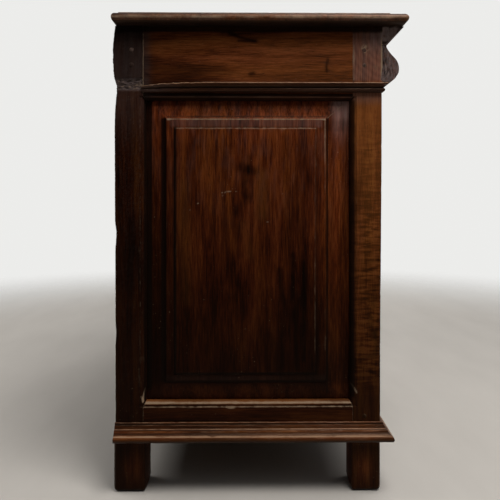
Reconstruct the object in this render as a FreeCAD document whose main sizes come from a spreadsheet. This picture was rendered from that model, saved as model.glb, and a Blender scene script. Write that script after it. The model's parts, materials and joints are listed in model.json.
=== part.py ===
import FreeCAD, Part
import Sketcher
import os
import re
from FreeCAD import Placement, Rotation, Vector

# Framed and panelled sideboard. Frame: +X along the length, the front faces -Y, +Z up,
# origin on the floor under the middle of the object. All sizes in millimetres.

doc = FreeCAD.newDocument("sideboard")
sheet = doc.addObject("Spreadsheet::Sheet", "dims")

CELLS = {
    # carcase envelope
    "case_half": 650.0, "y_front": -218.0, "y_back": 280.0, "case_top": 873.0,
    # posts
    "post_wide": 65.0, "post_deep": 52.0, "sight_in": 57.0, "mould_in": 46.0,
    # levels of the end frame
    "rail_low": 100.0, "mould_low": 159.0, "sight_low": 169.0,
    "sight_high": 735.0, "mould_high": 742.0, "rail_thick": 30.0,
    # end panel: tongue, bevel, band and field
    "tongue_back": 22.0, "tongue_face": 14.0, "bevel_face": 7.0, "band_face": 3.5, "field_face": 1.0,
    "tongue_run": 8.0, "mould_deep": 12.0,
    "step_front": 45.0, "step_rear": 37.0, "step_low": 34.0, "step_top": 34.0,
    "field_front": 66.0, "field_rear": 55.0, "field_low": 51.0, "field_top": 54.0,
    # tenons and pegs of the end frame
    "tenon_long": 36.0, "tenon_near": 14.0, "tenon_far": 26.0, "peg_rad": 4.0, "peg_long": 34.0,
    "peg_fit": 0.05, "peg_in": 31.0,
    # front frame
    "front_thick": 30.0, "top_rail_low": 840.0, "drawer_rail_low": 735.0, "drawer_rail_top": 768.0,
    "bottom_rail_top": 150.0, "muntin_half": 30.0, "muntin_deep": 50.0, "front_tenon": 28.0,
    # top
    "top_over_end": 25.0, "top_over_front": 47.0, "slab_thick": 19.0, "nose_rad": 9.0,
    "field_thick": 8.0, "ledge": 27.0,
    # mouldings
    "waist_low": 748.0, "waist_tall": 18.0, "waist_out": 12.0,
    "base_low": 99.0, "base_tall": 33.0, "base_out": 21.5,
    "cornice_out": 45.0, "cornice_tall": 33.0,
    "ogee_low": 769.5, "ogee_tall": 69.0, "ogee_out": 35.0,
    # back
    "board_thick": 12.0, "back_rail_thick": 28.0, "board_wide": 194.5, "board_pitch": 195.0,
    "nail_rad": 1.6, "nail_head": 4.0, "nail_long": 32.0, "nail_head_thick": 1.5, "nail_fit": 0.05,
    # floor, shelf and bearers
    "floor_low": 132.0, "floor_thick": 18.0, "bearer_wide": 20.0, "bearer_tall": 20.0,
    "shelf_low": 440.0, "shelf_thick": 18.0,
    # drawers
    "drawer_gap": 2.5, "front_body": 20.0, "side_thick": 11.0, "side_low": 769.0, "side_tall": 67.0,
    "drawer_rear": 215.0, "back_thick": 12.0, "bottom_low": 774.0, "bottom_thick": 7.0, "groove": 6.0,
    "side_lap": 12.0, "back_tall": 51.0,
    "knob_level": 792.0, "knob_hole": 6.1, "knob_deep": 18.0, "knob_long": 27.0,
    # doors
    "door_gap": 3.0, "door_thick": 26.0, "door_low": 152.5, "door_top": 732.5, "stile_wide": 75.0,
    "low_rail_wide": 80.0, "door_tenon": 50.0,
    # hinges
    "barrel_rad": 6.0, "pin_rad": 3.0, "pin_fit": 0.08, "barrel_x": 583.5, "barrel_out": 6.5,
    "leaf_thick": 2.5, "leaf_deep": 26.0, "hinge_tall": 60.0, "hinge_low": 225.0, "hinge_high": 600.0,
    "knuckle": 20.0, "knuckle_gap": 0.3,
    # locks
    "key_x": 70.0, "key_level": 436.0, "case_left": 100.0, "case_right": 35.0, "case_low": 405.0,
    "case_high": 480.0, "case_deep": 15.0, "case_wall": 2.0,
    "bolt_low": 448.0, "bolt_tall": 14.0, "bolt_deep": 8.0, "bolt_throw": 10.0,
    "shank_rad": 2.8, "bow_rad": 13.0, "bow_hole": 7.5, "bow_thick": 4.0, "plate_thick": 1.5,
}
for row, (alias, value) in enumerate(CELLS.items(), start=1):
    sheet.set("A%d" % row, alias)
    sheet.set("B%d" % row, repr(value))
    sheet.setAlias("B%d" % row, alias)
doc.recompute()

WORD = re.compile(r"[a-z_]+")
NODES = []


def expr(text):
    """A size written with cell names becomes an expression on the sheet."""
    return WORD.sub(lambda m: "dims." + m.group(0) if m.group(0) in CELLS else m.group(0), str(text))


def bind(obj, prop, text):
    obj.setExpression(prop, expr(text))


def put(obj, x, y, z, rotation=None):
    if rotation is not None:
        obj.Placement = Placement(Vector(0, 0, 0), rotation)
    bind(obj, ".Placement.Base.x", x)
    bind(obj, ".Placement.Base.y", y)
    bind(obj, ".Placement.Base.z", z)
    return obj


def box(name, x0, x1, y0, y1, z0, z1):
    obj = doc.addObject("Part::Box", name)
    bind(obj, "Length", "(%s)-(%s)" % (x1, x0))
    bind(obj, "Width", "(%s)-(%s)" % (y1, y0))
    bind(obj, "Height", "(%s)-(%s)" % (z1, z0))
    return put(obj, x0, y0, z0)


def rod(name, radius, length, x, y, z, axis="Z"):
    """A cylinder that starts at a point and runs along +X, +Y or +Z."""
    obj = doc.addObject("Part::Cylinder", name)
    bind(obj, "Radius", radius)
    bind(obj, "Height", length)
    turn = {"X": Rotation(Vector(0, 1, 0), 90), "Y": Rotation(Vector(1, 0, 0), -90), "Z": Rotation()}[axis]
    return put(obj, x, y, z, turn)


def frustum(name, big, small, depth, rotation, at):
    """A four-sided frustum: big and small are (u0, u1, z0, z1)."""
    obj = doc.addObject("Part::Wedge", name)
    obj.Ymin = 0
    bind(obj, "Ymax", depth)
    for prop, text in zip(("Xmin", "Xmax", "Zmin", "Zmax"), big):
        bind(obj, prop, text)
    for prop, text in zip(("X2min", "X2max", "Z2min", "Z2max"), small):
        bind(obj, prop, text)
    return put(obj, at[0], at[1], at[2], rotation)


def fuse(name, *shapes):
    obj = doc.addObject("Part::MultiFuse", name)
    obj.Shapes = list(shapes)
    return obj


def cut(name, base, *tools):
    obj = doc.addObject("Part::Cut", name)
    obj.Base = base
    obj.Tool = tools[0] if len(tools) == 1 else fuse(name + "_tools", *tools)
    return obj


def group(name, *shapes):
    obj = doc.addObject("Part::Compound", name)
    obj.Links = list(shapes)
    return obj


def mirror(name, source):
    """The same piece at the other end of the length."""
    obj = doc.addObject("Part::Mirroring", name)
    obj.Source = source
    obj.Base = Vector(0, 0, 0)
    obj.Normal = Vector(1, 0, 0)
    return obj


def node(label, obj):
    obj.Label = label
    NODES.append(obj)
    return obj


def plane(body, role):
    return [f for f in body.Origin.OriginFeatures if f.Role == role][0]


def polygon(body, name, role, points):
    """A closed sketch of straight lines, each corner held by two dimensions on the sheet."""
    sketch = body.newObject("Sketcher::SketchObject", name)
    sketch.AttachmentSupport = [(plane(body, role), "")]
    sketch.MapMode = "FlatFace"
    corners = [Vector(number_of(a), number_of(b), 0) for a, b in points]
    count = len(corners)
    for i in range(count):
        sketch.addGeometry(Part.LineSegment(corners[i], corners[(i + 1) % count]), False)
    for i in range(count):
        sketch.addConstraint(Sketcher.Constraint("Coincident", i, 2, (i + 1) % count, 1))
    for i, (a, b) in enumerate(points):
        for kind, text, at in (("DistanceX", a, corners[i].x), ("DistanceY", b, corners[i].y)):
            index = sketch.addConstraint(Sketcher.Constraint(kind, -1, 1, i, 1, at))
            if WORD.search(str(text)):
                sketch.setExpression("Constraints[%d]" % index, expr(text))
    return sketch


def number_of(text):
    """The number that a size on the sheet stands for: sums and differences of cells and numbers."""
    total = 0.0
    for sign, term in re.findall(r"([+-]?)\s*([a-z_]+|[0-9.]+)", str(text)):
        number = CELLS[term] if term in CELLS else float(term)
        total += -number if sign == "-" else number
    return total


def bar(name, role, points, length, at):
    """A length of a given section: the section is a sketch, padded along the plane's normal."""
    body = doc.addObject("PartDesign::Body", name)
    sketch = polygon(body, name + "_section", role, points)
    pad = body.newObject("PartDesign::Pad", name + "_pad")
    pad.Profile = sketch
    bind(pad, "Length", length)
    put(body, *at)
    return body


def turned(name, points, at, rotation):
    """A turned piece: half section in the XY plane, x the radius, revolved about the Y axis."""
    body = doc.addObject("PartDesign::Body", name)
    sketch = polygon(body, name + "_section", "XY_Plane", points)
    spin = body.newObject("PartDesign::Revolution", name + "_turn")
    spin.Profile = sketch
    spin.ReferenceAxis = (sketch, ["V_Axis"])
    spin.Angle = 360.0
    put(body, at[0], at[1], at[2], rotation)
    return body


TURN_X = Rotation(Vector(0, 0, 1), 90)      # frustum that narrows towards -X
TURN_Y = Rotation(Vector(0, 0, 1), 180)     # frustum that narrows towards -Y

# ---------------------------------------------------------------------------------------------
# Left end frame: two posts, two rails, one fielded panel
# ---------------------------------------------------------------------------------------------
S_FRONT = "y_front+sight_in"
S_BACK = "y_back-sight_in"

# moulded opening of the end frame, shared by posts and rails
end_opening = frustum(
    "end_opening",
    (S_FRONT, S_BACK, "sight_low", "sight_high"),
    ("y_front+mould_in-1", "y_back-mould_in+1", "mould_low-1", "mould_high+1"),
    "mould_deep+1", TURN_X, ("-case_half+mould_deep", "0", "0"))
end_sight = box("end_sight", "-case_half+mould_deep-1", "-case_half+tongue_face+1", S_FRONT, S_BACK,
                "sight_low", "sight_high")
end_groove = box("end_groove", "-case_half+tongue_face", "-case_half+tongue_back",
                 "y_front+sight_in-tongue_run-1", "y_back-sight_in+tongue_run+1",
                 "sight_low-tongue_run-1", "sight_high+tongue_run+1")

# tenons of the end rails
ten_fu = box("tenon_fu", "-case_half+tenon_near", "-case_half+tenon_far",
             "y_front+post_deep-tenon_long", "y_front+post_deep", "775", "860")
ten_bu = box("tenon_bu", "-case_half+tenon_near", "-case_half+tenon_far",
             "y_back-post_deep", "y_back-post_deep+tenon_long", "775", "860")
ten_fl = box("tenon_fl", "-case_half+tenon_near", "-case_half+tenon_far",
             "y_front+post_deep-tenon_long", "y_front+post_deep", "108", "150")
ten_bl = box("tenon_bl", "-case_half+tenon_near", "-case_half+tenon_far",
             "y_back-post_deep", "y_back-post_deep+tenon_long", "108", "150")

# peg holes of the left end: two at each upper joint, one at each lower joint
PEGS = [("y_front+peg_in", "828"), ("y_front+peg_in", "800"), ("y_back-peg_in", "828"), ("y_back-peg_in", "800"),
        ("y_front+peg_in", "141"), ("y_back-peg_in", "141")]
peg_holes = fuse("peg_holes", *[
    rod("peg_hole_%d" % i, "peg_rad+peg_fit", "peg_long+1", "-case_half-1", y, z, "X")
    for i, (y, z) in enumerate(PEGS)])

# mortises of the front and back rails in the left posts
MORT_F = {"top": ("845", "868"), "drawer": ("740", "763"), "bottom": ("106", "145")}
MORT_B = {"top": ("835", "868"), "mid": ("740", "763"), "bottom": ("106", "145")}
front_tenons = {k: box("tenon_front_" + k, "-case_half+post_wide-front_tenon", "-case_half+post_wide",
                       "y_front+9", "y_front+21", a, b) for k, (a, b) in MORT_F.items()}
back_tenons = {k: box("tenon_back_" + k, "-case_half+post_wide-front_tenon", "-case_half+post_wide",
                      "y_back-board_thick-20", "y_back-board_thick-8", a, b) for k, (a, b) in MORT_B.items()}

# recesses for the hinge leaves in the front post
HINGES = ("hinge_low", "hinge_high")
post_leaf_seats = [box("post_leaf_seat_%d" % i, "-barrel_x-1-leaf_thick", "-barrel_x",
                       "y_front-1", "y_front-4+leaf_deep", z, z + "+hinge_tall") for i, z in enumerate(HINGES)]

front_post_bar = bar("front_post_bar", "YZ_Plane", [
    ("0", "0"), ("post_deep", "0"), ("post_deep", "mould_low"), ("sight_in", "sight_low"),
    ("sight_in", "sight_high"), ("post_deep", "mould_high"), ("post_deep", "case_top"), ("0", "case_top")],
    "post_wide", ("-case_half", "y_front", "0"))
back_post_bar = bar("back_post_bar", "YZ_Plane", [
    ("sight_in", "0"), ("sight_in", "case_top"), ("sight_in-post_deep", "case_top"),
    ("sight_in-post_deep", "mould_high"), ("0", "sight_high"), ("0", "sight_low"),
    ("sight_in-post_deep", "mould_low"), ("sight_in-post_deep", "0")],
    "post_wide", ("-case_half", "y_back-sight_in", "0"))

front_left_post = node("front_left_post", cut(
    "front_left_post", front_post_bar, end_opening, end_groove, ten_fu, ten_fl, peg_holes,
    *(list(front_tenons.values()) + post_leaf_seats)))
back_left_post = node("back_left_post", cut(
    "back_left_post", back_post_bar, end_opening, end_groove, ten_bu, ten_bl, peg_holes,
    *list(back_tenons.values())))
node("front_right_post", mirror("front_right_post", front_left_post))
node("back_right_post", mirror("back_right_post", back_left_post))

RAIL_SPAN = "y_back-post_deep-y_front-post_deep"
upper_bar = bar("upper_rail_bar", "YZ_Plane", [
    ("0", "mould_high-sight_high"), ("sight_in-post_deep", "0"),
    ("y_back-y_front-post_deep-sight_in", "0"),
    ("y_back-y_front-post_deep-post_deep", "mould_high-sight_high"),
    ("y_back-y_front-post_deep-post_deep", "case_top-sight_high"), ("0", "case_top-sight_high")],
    "rail_thick", ("-case_half", "y_front+post_deep", "sight_high"))
lower_bar = bar("lower_rail_bar", "YZ_Plane", [
    ("0", "0"), ("y_back-y_front-post_deep-post_deep", "0"),
    ("y_back-y_front-post_deep-post_deep", "mould_low-rail_low"),
    ("y_back-y_front-post_deep-sight_in", "sight_low-rail_low"),
    ("sight_in-post_deep", "sight_low-rail_low"), ("0", "mould_low-rail_low")],
    "rail_thick", ("-case_half", "y_front+post_deep", "rail_low"))
left_upper_rail = node("left_upper_rail", cut(
    "left_upper_rail", fuse("upper_rail_stock", upper_bar, ten_fu, ten_bu), end_opening, end_groove, peg_holes))
left_lower_rail = node("left_lower_rail", cut(
    "left_lower_rail", fuse("lower_rail_stock", lower_bar, ten_fl, ten_bl), end_opening, end_groove, peg_holes))
node("right_upper_rail", mirror("right_upper_rail", left_upper_rail))
node("right_lower_rail", mirror("right_lower_rail", left_lower_rail))

# fielded panel: a thin tongue in the grooves, a sloped margin, a band and a flat field
panel_tongue = box("panel_tongue", "-case_half+tongue_face", "-case_half+tongue_back",
                   "y_front+sight_in-tongue_run", "y_back-sight_in+tongue_run",
                   "sight_low-tongue_run", "sight_high+tongue_run")
panel_bevel = frustum(
    "panel_bevel", (S_FRONT, S_BACK, "sight_low", "sight_high"),
    ("y_front+sight_in+step_front", "y_back-sight_in-step_rear", "sight_low+step_low", "sight_high-step_top"),
    "tongue_face-bevel_face", TURN_X, ("-case_half+tongue_face", "0", "0"))
panel_band = box("panel_band", "-case_half+band_face", "-case_half+tongue_face",
                 "y_front+sight_in+step_front", "y_back-sight_in-step_rear",
                 "sight_low+step_low", "sight_high-step_top")
panel_field = box("panel_field", "-case_half+field_face", "-case_half+tongue_face",
                  "y_front+sight_in+field_front", "y_back-sight_in-field_rear",
                  "sight_low+field_low", "sight_high-field_top")
left_end_panel = node("left_end_panel", fuse("left_end_panel", panel_tongue, panel_bevel, panel_band, panel_field))
node("right_end_panel", mirror("right_end_panel", left_end_panel))

# pegs of both ends, one group
left_pegs = [rod("left_peg_%d" % i, "peg_rad", "peg_long", "-case_half", y, z, "X") for i, (y, z) in enumerate(PEGS)]
right_pegs = [mirror("right_peg_%d" % i, p) for i, p in enumerate(left_pegs)]
node("frame_pegs", group("frame_pegs", *(left_pegs + right_pegs)))

# ---------------------------------------------------------------------------------------------
# Front frame
# ---------------------------------------------------------------------------------------------
INNER = "case_half-post_wide"


def front_rail(name, z0, z1, y0, y1, tenon):
    left = tenon
    right = mirror(name + "_far_tenon", tenon)
    return fuse(name + "_stock", box(name + "_bar", "-(%s)" % INNER, INNER, y0, y1, z0, z1), left, right)


muntin_tenon_top = box("muntin_tenon_top", "-20", "20", "y_front+9", "y_front+21",
                       "drawer_rail_low", "drawer_rail_low+20")
muntin_tenon_low = box("muntin_tenon_low", "-20", "20", "y_front+9", "y_front+21",
                       "bottom_rail_top-25", "bottom_rail_top")
divider_tenon_low = box("divider_tenon_low", "-20", "20", "y_front+12", "y_front+22",
                        "drawer_rail_top-10", "drawer_rail_top")
divider_tenon_top = box("divider_tenon_top", "-20", "20", "y_front+12", "y_front+22",
                        "top_rail_low", "top_rail_low+18")

node("front_top_rail", cut("front_top_rail", front_rail(
    "front_top_rail", "top_rail_low", "case_top", "y_front", "y_front+front_thick", front_tenons["top"]),
    divider_tenon_top))
node("drawer_rail", cut("drawer_rail", front_rail(
    "drawer_rail", "drawer_rail_low", "drawer_rail_top", "y_front", "y_front+front_thick", front_tenons["drawer"]),
    muntin_tenon_top, divider_tenon_low))
node("front_bottom_rail", cut("front_bottom_rail", front_rail(
    "front_bottom_rail", "rail_low", "bottom_rail_top", "y_front", "y_front+front_thick", front_tenons["bottom"]),
    muntin_tenon_low))
node("drawer_divider", fuse(
    "drawer_divider", box("divider_bar", "-muntin_half", "muntin_half", "y_front", "y_front+front_thick",
                          "drawer_rail_top", "top_rail_low"), divider_tenon_low, divider_tenon_top))

BOLT_Y0 = "y_front+door_thick+3"
bolt_mortise = box("bolt_mortise", "-muntin_half-1", "-muntin_half+bolt_throw+4",
                   "y_front+door_thick+2", "y_front+door_thick+4+bolt_deep", "bolt_low-1", "bolt_low+bolt_tall+1")
node("centre_muntin", cut("centre_muntin", fuse(
    "muntin_stock", box("muntin_bar", "-muntin_half", "muntin_half", "y_front", "y_front+muntin_deep",
                        "bottom_rail_top", "drawer_rail_low"), muntin_tenon_top, muntin_tenon_low),
    bolt_mortise, mirror("bolt_mortise_far", bolt_mortise)))

# ogee frieze blocks over the posts and the divider; section as (inset from the foremost line, height)
OGEE = [("14.5", "0"), ("4.9", "9.6"), ("0.2", "16.7"), ("0.2", "28.5"), ("2.8", "36.5"), ("10.1", "45.7"),
        ("18.5", "55.5"), ("24.5", "65.9"), ("25", "ogee_tall")]
block_section = OGEE + [("ogee_out", "ogee_tall"), ("ogee_out", "0")]
block_left = bar("block_left", "YZ_Plane", block_section, "post_wide",
                 ("-case_half", "y_front-ogee_out", "ogee_low"))
block_middle = bar("block_middle", "YZ_Plane", block_section, "muntin_half+muntin_half",
                   ("-muntin_half", "y_front-ogee_out", "ogee_low"))
node("frieze_blocks", group("frieze_blocks", block_left, block_middle, mirror("block_right", block_left)))

# cornice under the front edge of the top
node("cornice_moulding", bar("cornice_moulding", "YZ_Plane", [
    ("cornice_out", "0"), ("cornice_out", "cornice_tall"), ("0", "cornice_tall"), ("0", "cornice_tall-3"),
    ("9", "24.5"), ("19.5", "15"), ("29", "6.5"), ("33", "2.5"), ("35", "0")],
    "case_half+case_half", ("-case_half", "y_front-cornice_out", "top_rail_low")))

# ---------------------------------------------------------------------------------------------
# Top: a slab with a round nose on three sides and a raised field
# ---------------------------------------------------------------------------------------------
slab = doc.addObject("PartDesign::Body", "top_slab")
slab_sketch = polygon(slab, "top_slab_plan", "XY_Plane", [
    ("0", "0"), ("case_half+case_half+top_over_end+top_over_end", "0"),
    ("case_half+case_half+top_over_end+top_over_end", "y_back-y_front+top_over_front"),
    ("0", "y_back-y_front+top_over_front")])
slab_pad = slab.newObject("PartDesign::Pad", "top_slab_pad")
slab_pad.Profile = slab_sketch
bind(slab_pad, "Length", "slab_thick")
doc.recompute()
LONG = 2 * (CELLS["case_half"] + CELLS["top_over_end"])
nose_edges = []
for i, edge in enumerate(slab_pad.Shape.Edges, start=1):
    a, b = edge.Vertexes[0].Point, edge.Vertexes[-1].Point
    flat = abs(a.z - b.z) < 1e-6
    front = abs(a.y) < 1e-6 and abs(b.y) < 1e-6
    end = (abs(a.x) < 1e-6 and abs(b.x) < 1e-6) or (abs(a.x - LONG) < 1e-6 and abs(b.x - LONG) < 1e-6)
    if flat and (front or end):
        nose_edges.append("Edge%d" % i)
slab_nose = slab.newObject("PartDesign::Fillet", "top_slab_nose")
slab_nose.Base = (slab_pad, nose_edges)
bind(slab_nose, "Radius", "nose_rad")
put(slab, "-case_half-top_over_end", "y_front-top_over_front", "case_top")
top_field = box("top_field", "-case_half-top_over_end+ledge", "case_half+top_over_end-ledge",
                "y_front-top_over_front+ledge", "y_back", "case_top+slab_thick", "case_top+slab_thick+field_thick")
node("top_board", fuse("top_board", slab, top_field))

# ---------------------------------------------------------------------------------------------
# Waist and base mouldings: front length and two returns, mitred at the front corners
# ---------------------------------------------------------------------------------------------


def mitre(name, rotation, along_x, along_y, z0, z1):
    """A block turned by 45 degrees whose long face is the mitre plane of the left front corner."""
    obj = doc.addObject("Part::Box", name)
    obj.Length = 80
    obj.Width = 80
    bind(obj, "Height", "(%s)-(%s)" % (z1, z0))
    return put(obj, along_x, along_y, z0, Rotation(Vector(0, 0, 1), rotation))


def moulding(label, section, out, low, tall):
    """section is (projection, height) from the case face outwards, counted up from its lower edge."""
    front_points = [("%s-%s" % (out, p), z) for p, z in section]
    front = bar(label + "_front", "YZ_Plane", front_points, "case_half+case_half+%s+%s" % (out, out),
                ("-case_half-%s" % out, "y_front-%s" % out, low))
    side_points = [("%s-%s" % (out, p), z) for p, z in section]
    side = doc.addObject("PartDesign::Body", label + "_left")
    side_sketch = polygon(side, label + "_left_section", "XZ_Plane", side_points)
    side_pad = side.newObject("PartDesign::Pad", label + "_left_pad")
    side_pad.Profile = side_sketch
    bind(side_pad, "Length", "y_back-y_front+%s" % out)
    put(side, "-case_half-%s" % out, "y_back", low)
    # the mitre plane runs outwards from the corner of the case; 7.071 mm starts it inside the corner
    off_front = mitre(label + "_off_front", 135, "-case_half+7.071", "y_front+7.071", low + "-1",
                      low + "+" + tall + "+1")
    off_side = mitre(label + "_off_side", -45, "-case_half-49.497", "y_front-49.497", low + "-1",
                     low + "+" + tall + "+1")
    front_cut = cut(label + "_front_length", front, off_front, mirror(label + "_off_front_far", off_front))
    side_cut = cut(label + "_left_return", side, off_side)
    return node(label, group(label, front_cut, side_cut, mirror(label + "_right_return", side_cut)))


moulding("waist_moulding", [
    ("0", "0"), ("4", "2"), ("7", "5"), ("7", "12.5"), ("waist_out", "14"), ("waist_out", "waist_tall"),
    ("0", "waist_tall")], "waist_out", "waist_low", "waist_tall")
moulding("base_moulding", [
    ("0", "0"), ("19", "0"), ("21", "2.5"), ("base_out", "6"), ("20", "10"), ("18.5", "11.5"), ("14", "14"),
    ("11.5", "18"), ("11", "20"), ("7.5", "22"), ("5.5", "26"), ("4", "28"), ("4", "30.5"), ("2.5", "base_tall"),
    ("0", "base_tall")], "base_out", "base_low", "base_tall")

# ---------------------------------------------------------------------------------------------
# Back: three rails between the posts, upright boards nailed over them
# ---------------------------------------------------------------------------------------------
BACK_RAILS = {"top": ("830", "case_top"), "mid": ("drawer_rail_low", "drawer_rail_top"), "bottom": ("rail_low", "bottom_rail_top")}
NAIL_LEVELS = {"top": "851", "mid": "751.5", "bottom": "125"}
boards = [box("back_board_%d" % i, "-(%s)+%d*board_pitch+0.25" % (INNER, i), "-(%s)+%d*board_pitch+0.25+board_wide" % (INNER, i),
              "y_back-board_thick", "y_back", "rail_low", "case_top") for i in range(6)]
nails = []
nail_holes = []
for i in range(6):
    for inset in ("40", "board_wide-40"):
        for key, level in NAIL_LEVELS.items():
            tag = "%d_%s_%s" % (i, key, "a" if inset == "40" else "b")
            x = "-(%s)+%d*board_pitch+0.25+%s" % (INNER, i, inset)
            nails.append(fuse("nail_" + tag,
                              rod("nail_shank_" + tag, "nail_rad", "nail_long", x, "y_back-nail_long", level, "Y"),
                              rod("nail_top_" + tag, "nail_head", "nail_head_thick", x, "y_back-nail_head_thick", level, "Y")))
            nail_holes.append((i, key, fuse(
                "nail_hole_" + tag,
                rod("nail_bore_" + tag, "nail_rad+nail_fit", "nail_long+1.1", x, "y_back-nail_long-0.1", level, "Y"),
                rod("nail_sink_" + tag, "nail_head+nail_fit", "nail_head_thick+1", x, "y_back-nail_head_thick", level, "Y"))))
node("back_boards", group("back_boards", *[
    cut("back_board_cut_%d" % i, board, *[hole for j, key, hole in nail_holes if j == i]) for i, board in enumerate(boards)]))
back_rail_parts = []
for key, (z0, z1) in BACK_RAILS.items():
    stock = fuse("back_rail_stock_" + key,
                 box("back_rail_bar_" + key, "-(%s)" % INNER, INNER, "y_back-board_thick-back_rail_thick",
                     "y_back-board_thick", z0, z1), back_tenons[key], mirror("back_rail_far_" + key, back_tenons[key]))
    back_rail_parts.append(cut("back_rail_" + key, stock, *[hole for j, k, hole in nail_holes if k == key]))
node("back_rails", group("back_rails", *back_rail_parts))
node("back_nails", group("back_nails", *nails))

# ---------------------------------------------------------------------------------------------
# Inside: floor, shelf, bearers, runners, guides, kickers and door stops
# ---------------------------------------------------------------------------------------------
FLOOR = ("floor_low", "floor_low+floor_thick")
node("floor_boards", group(
    "floor_boards",
    box("floor_front", "-(%s)+0.5" % INNER, "%s-0.5" % INNER, "y_front+front_thick+0.5", "y_front+post_deep-0.2", *FLOOR),
    box("floor_a", "-case_half+rail_thick+0.5", "case_half-rail_thick-0.5", "y_front+post_deep+0.5", "31", *FLOOR),
    box("floor_b", "-case_half+rail_thick+0.5", "case_half-rail_thick-0.5", "31.5", "y_back-post_deep-0.5", *FLOOR),
    box("floor_rear", "-(%s)+0.5" % INNER, "%s-0.5" % INNER, "y_back-post_deep", "y_back-board_thick-back_rail_thick-0.5", *FLOOR)))
node("shelf", group(
    "shelf",
    box("shelf_a", "-case_half+25", "case_half-25", "-110", "56", "shelf_low", "shelf_low+shelf_thick"),
    box("shelf_b", "-case_half+25", "case_half-25", "56.5", "222", "shelf_low", "shelf_low+shelf_thick")))
end_bearer = box("floor_bearer_end", "-case_half+rail_thick", "-case_half+rail_thick+bearer_wide", "-160", "218",
                 "floor_low-bearer_tall", "floor_low")
shelf_bearer = box("shelf_bearer_end", "-case_half+23", "-case_half+45", "-160.5", "222.5", "shelf_low-22", "shelf_low")
node("bearers", group(
    "bearers", end_bearer, mirror("floor_bearer_far", end_bearer), shelf_bearer, mirror("shelf_bearer_far", shelf_bearer),
    box("floor_bearer_front", "-580", "580", "y_front+front_thick", "y_front+front_thick+bearer_wide", "floor_low-bearer_tall", "floor_low"),
    box("floor_bearer_rear", "-580", "580", "y_back-board_thick-back_rail_thick-bearer_wide",
        "y_back-board_thick-back_rail_thick", "floor_low-bearer_tall", "floor_low"),
    box("floor_bearer_middle", "-20", "20", "y_front+front_thick+bearer_wide", "y_back-board_thick-back_rail_thick-bearer_wide",
        "floor_low-bearer_tall", "floor_low")))

RUN = ("y_front+front_thick", "y_back-board_thick-back_rail_thick")
end_runner = box("runner_end", "-(%s)+0.5" % INNER, "-(%s)+23" % INNER, RUN[0], RUN[1], "drawer_rail_top-20", "drawer_rail_top")
end_guide = box("guide_end", "-case_half+rail_thick", "-(%s)+0.5" % INNER, "y_front+post_deep+1", "y_back-post_deep-1",
                "drawer_rail_top-20", "drawer_rail_top+22")
end_kicker = box("kicker_end", "-(%s)+0.5" % INNER, "-(%s)+23" % INNER, RUN[0], RUN[1], "top_rail_low", "top_rail_low+18")
node("drawer_runners", group(
    "drawer_runners", end_runner, mirror("runner_far", end_runner), end_guide, mirror("guide_far", end_guide),
    box("runner_middle", "-60", "60", RUN[0], RUN[1], "drawer_rail_top-20", "drawer_rail_top"),
    box("guide_middle", "-muntin_half", "muntin_half", RUN[0], RUN[1], "drawer_rail_top", "drawer_rail_top+22"),
    end_kicker, mirror("kicker_far", end_kicker),
    box("kicker_middle", "-60", "60", RUN[0], RUN[1], "top_rail_low", "top_rail_low+18")))
stop_left = box("door_stop_left", "-560", "-60", "y_front+door_thick+2", "y_front+front_thick+8", "drawer_rail_low-12", "drawer_rail_low")
node("door_stops", group("door_stops", stop_left, mirror("door_stop_right", stop_left)))

# ---------------------------------------------------------------------------------------------
# Left drawer and its mirror
# ---------------------------------------------------------------------------------------------
DX0 = "-(%s)+drawer_gap" % INNER
DX1 = "-muntin_half-drawer_gap"
drawer_section = OGEE + [("ogee_out+front_body", "ogee_tall"), ("ogee_out+front_body", "0")]
drawer_front_bar = bar("drawer_front_bar", "YZ_Plane", drawer_section,
                       "case_half-post_wide-muntin_half-drawer_gap-drawer_gap", (DX0, "y_front-ogee_out", "ogee_low"))
SX0 = "-(%s)+3" % INNER
SX1 = "-muntin_half-3"
SIDE_Y0 = "y_front+front_body-side_lap"
side_l = box("drawer_side_l", SX0, SX0 + "+side_thick", SIDE_Y0, "drawer_rear", "side_low", "side_low+side_tall")
side_r = box("drawer_side_r", SX1 + "-side_thick", SX1, SIDE_Y0, "drawer_rear", "side_low", "side_low+side_tall")
lap_l = box("drawer_lap_l", DX0 + "-1", SX0 + "+side_thick", SIDE_Y0, "y_front+front_body+1", "ogee_low-1", "ogee_low+ogee_tall+1")
lap_r = box("drawer_lap_r", SX1 + "-side_thick", DX1 + "+1", SIDE_Y0, "y_front+front_body+1", "ogee_low-1", "ogee_low+ogee_tall+1")
bottom = box("drawer_bottom_board", SX0 + "+side_thick-groove", SX1 + "-side_thick+groove", "y_front+front_body-groove",
             "drawer_rear", "bottom_low", "bottom_low+bottom_thick")
drawer_back = box("drawer_back_board", SX0 + "+side_thick", SX1 + "-side_thick", "drawer_rear-back_thick", "drawer_rear",
                  "bottom_low+bottom_thick", "bottom_low+bottom_thick+back_tall")
KNOB_X = "-(case_half-post_wide+muntin_half)/2"
knob_bore = rod("knob_bore", "knob_hole", "knob_deep+1", KNOB_X, "y_front-ogee_out-1", "knob_level", "Y")
left_drawer_front = node("left_drawer_front", cut("left_drawer_front", drawer_front_bar, lap_l, lap_r, bottom, knob_bore))
left_drawer_sides = node("left_drawer_sides", group(
    "left_drawer_sides", cut("drawer_side_l_cut", side_l, bottom), cut("drawer_side_r_cut", side_r, bottom)))
left_drawer_back = node("left_drawer_back", drawer_back)
left_drawer_bottom = node("left_drawer_bottom", bottom)
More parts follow.
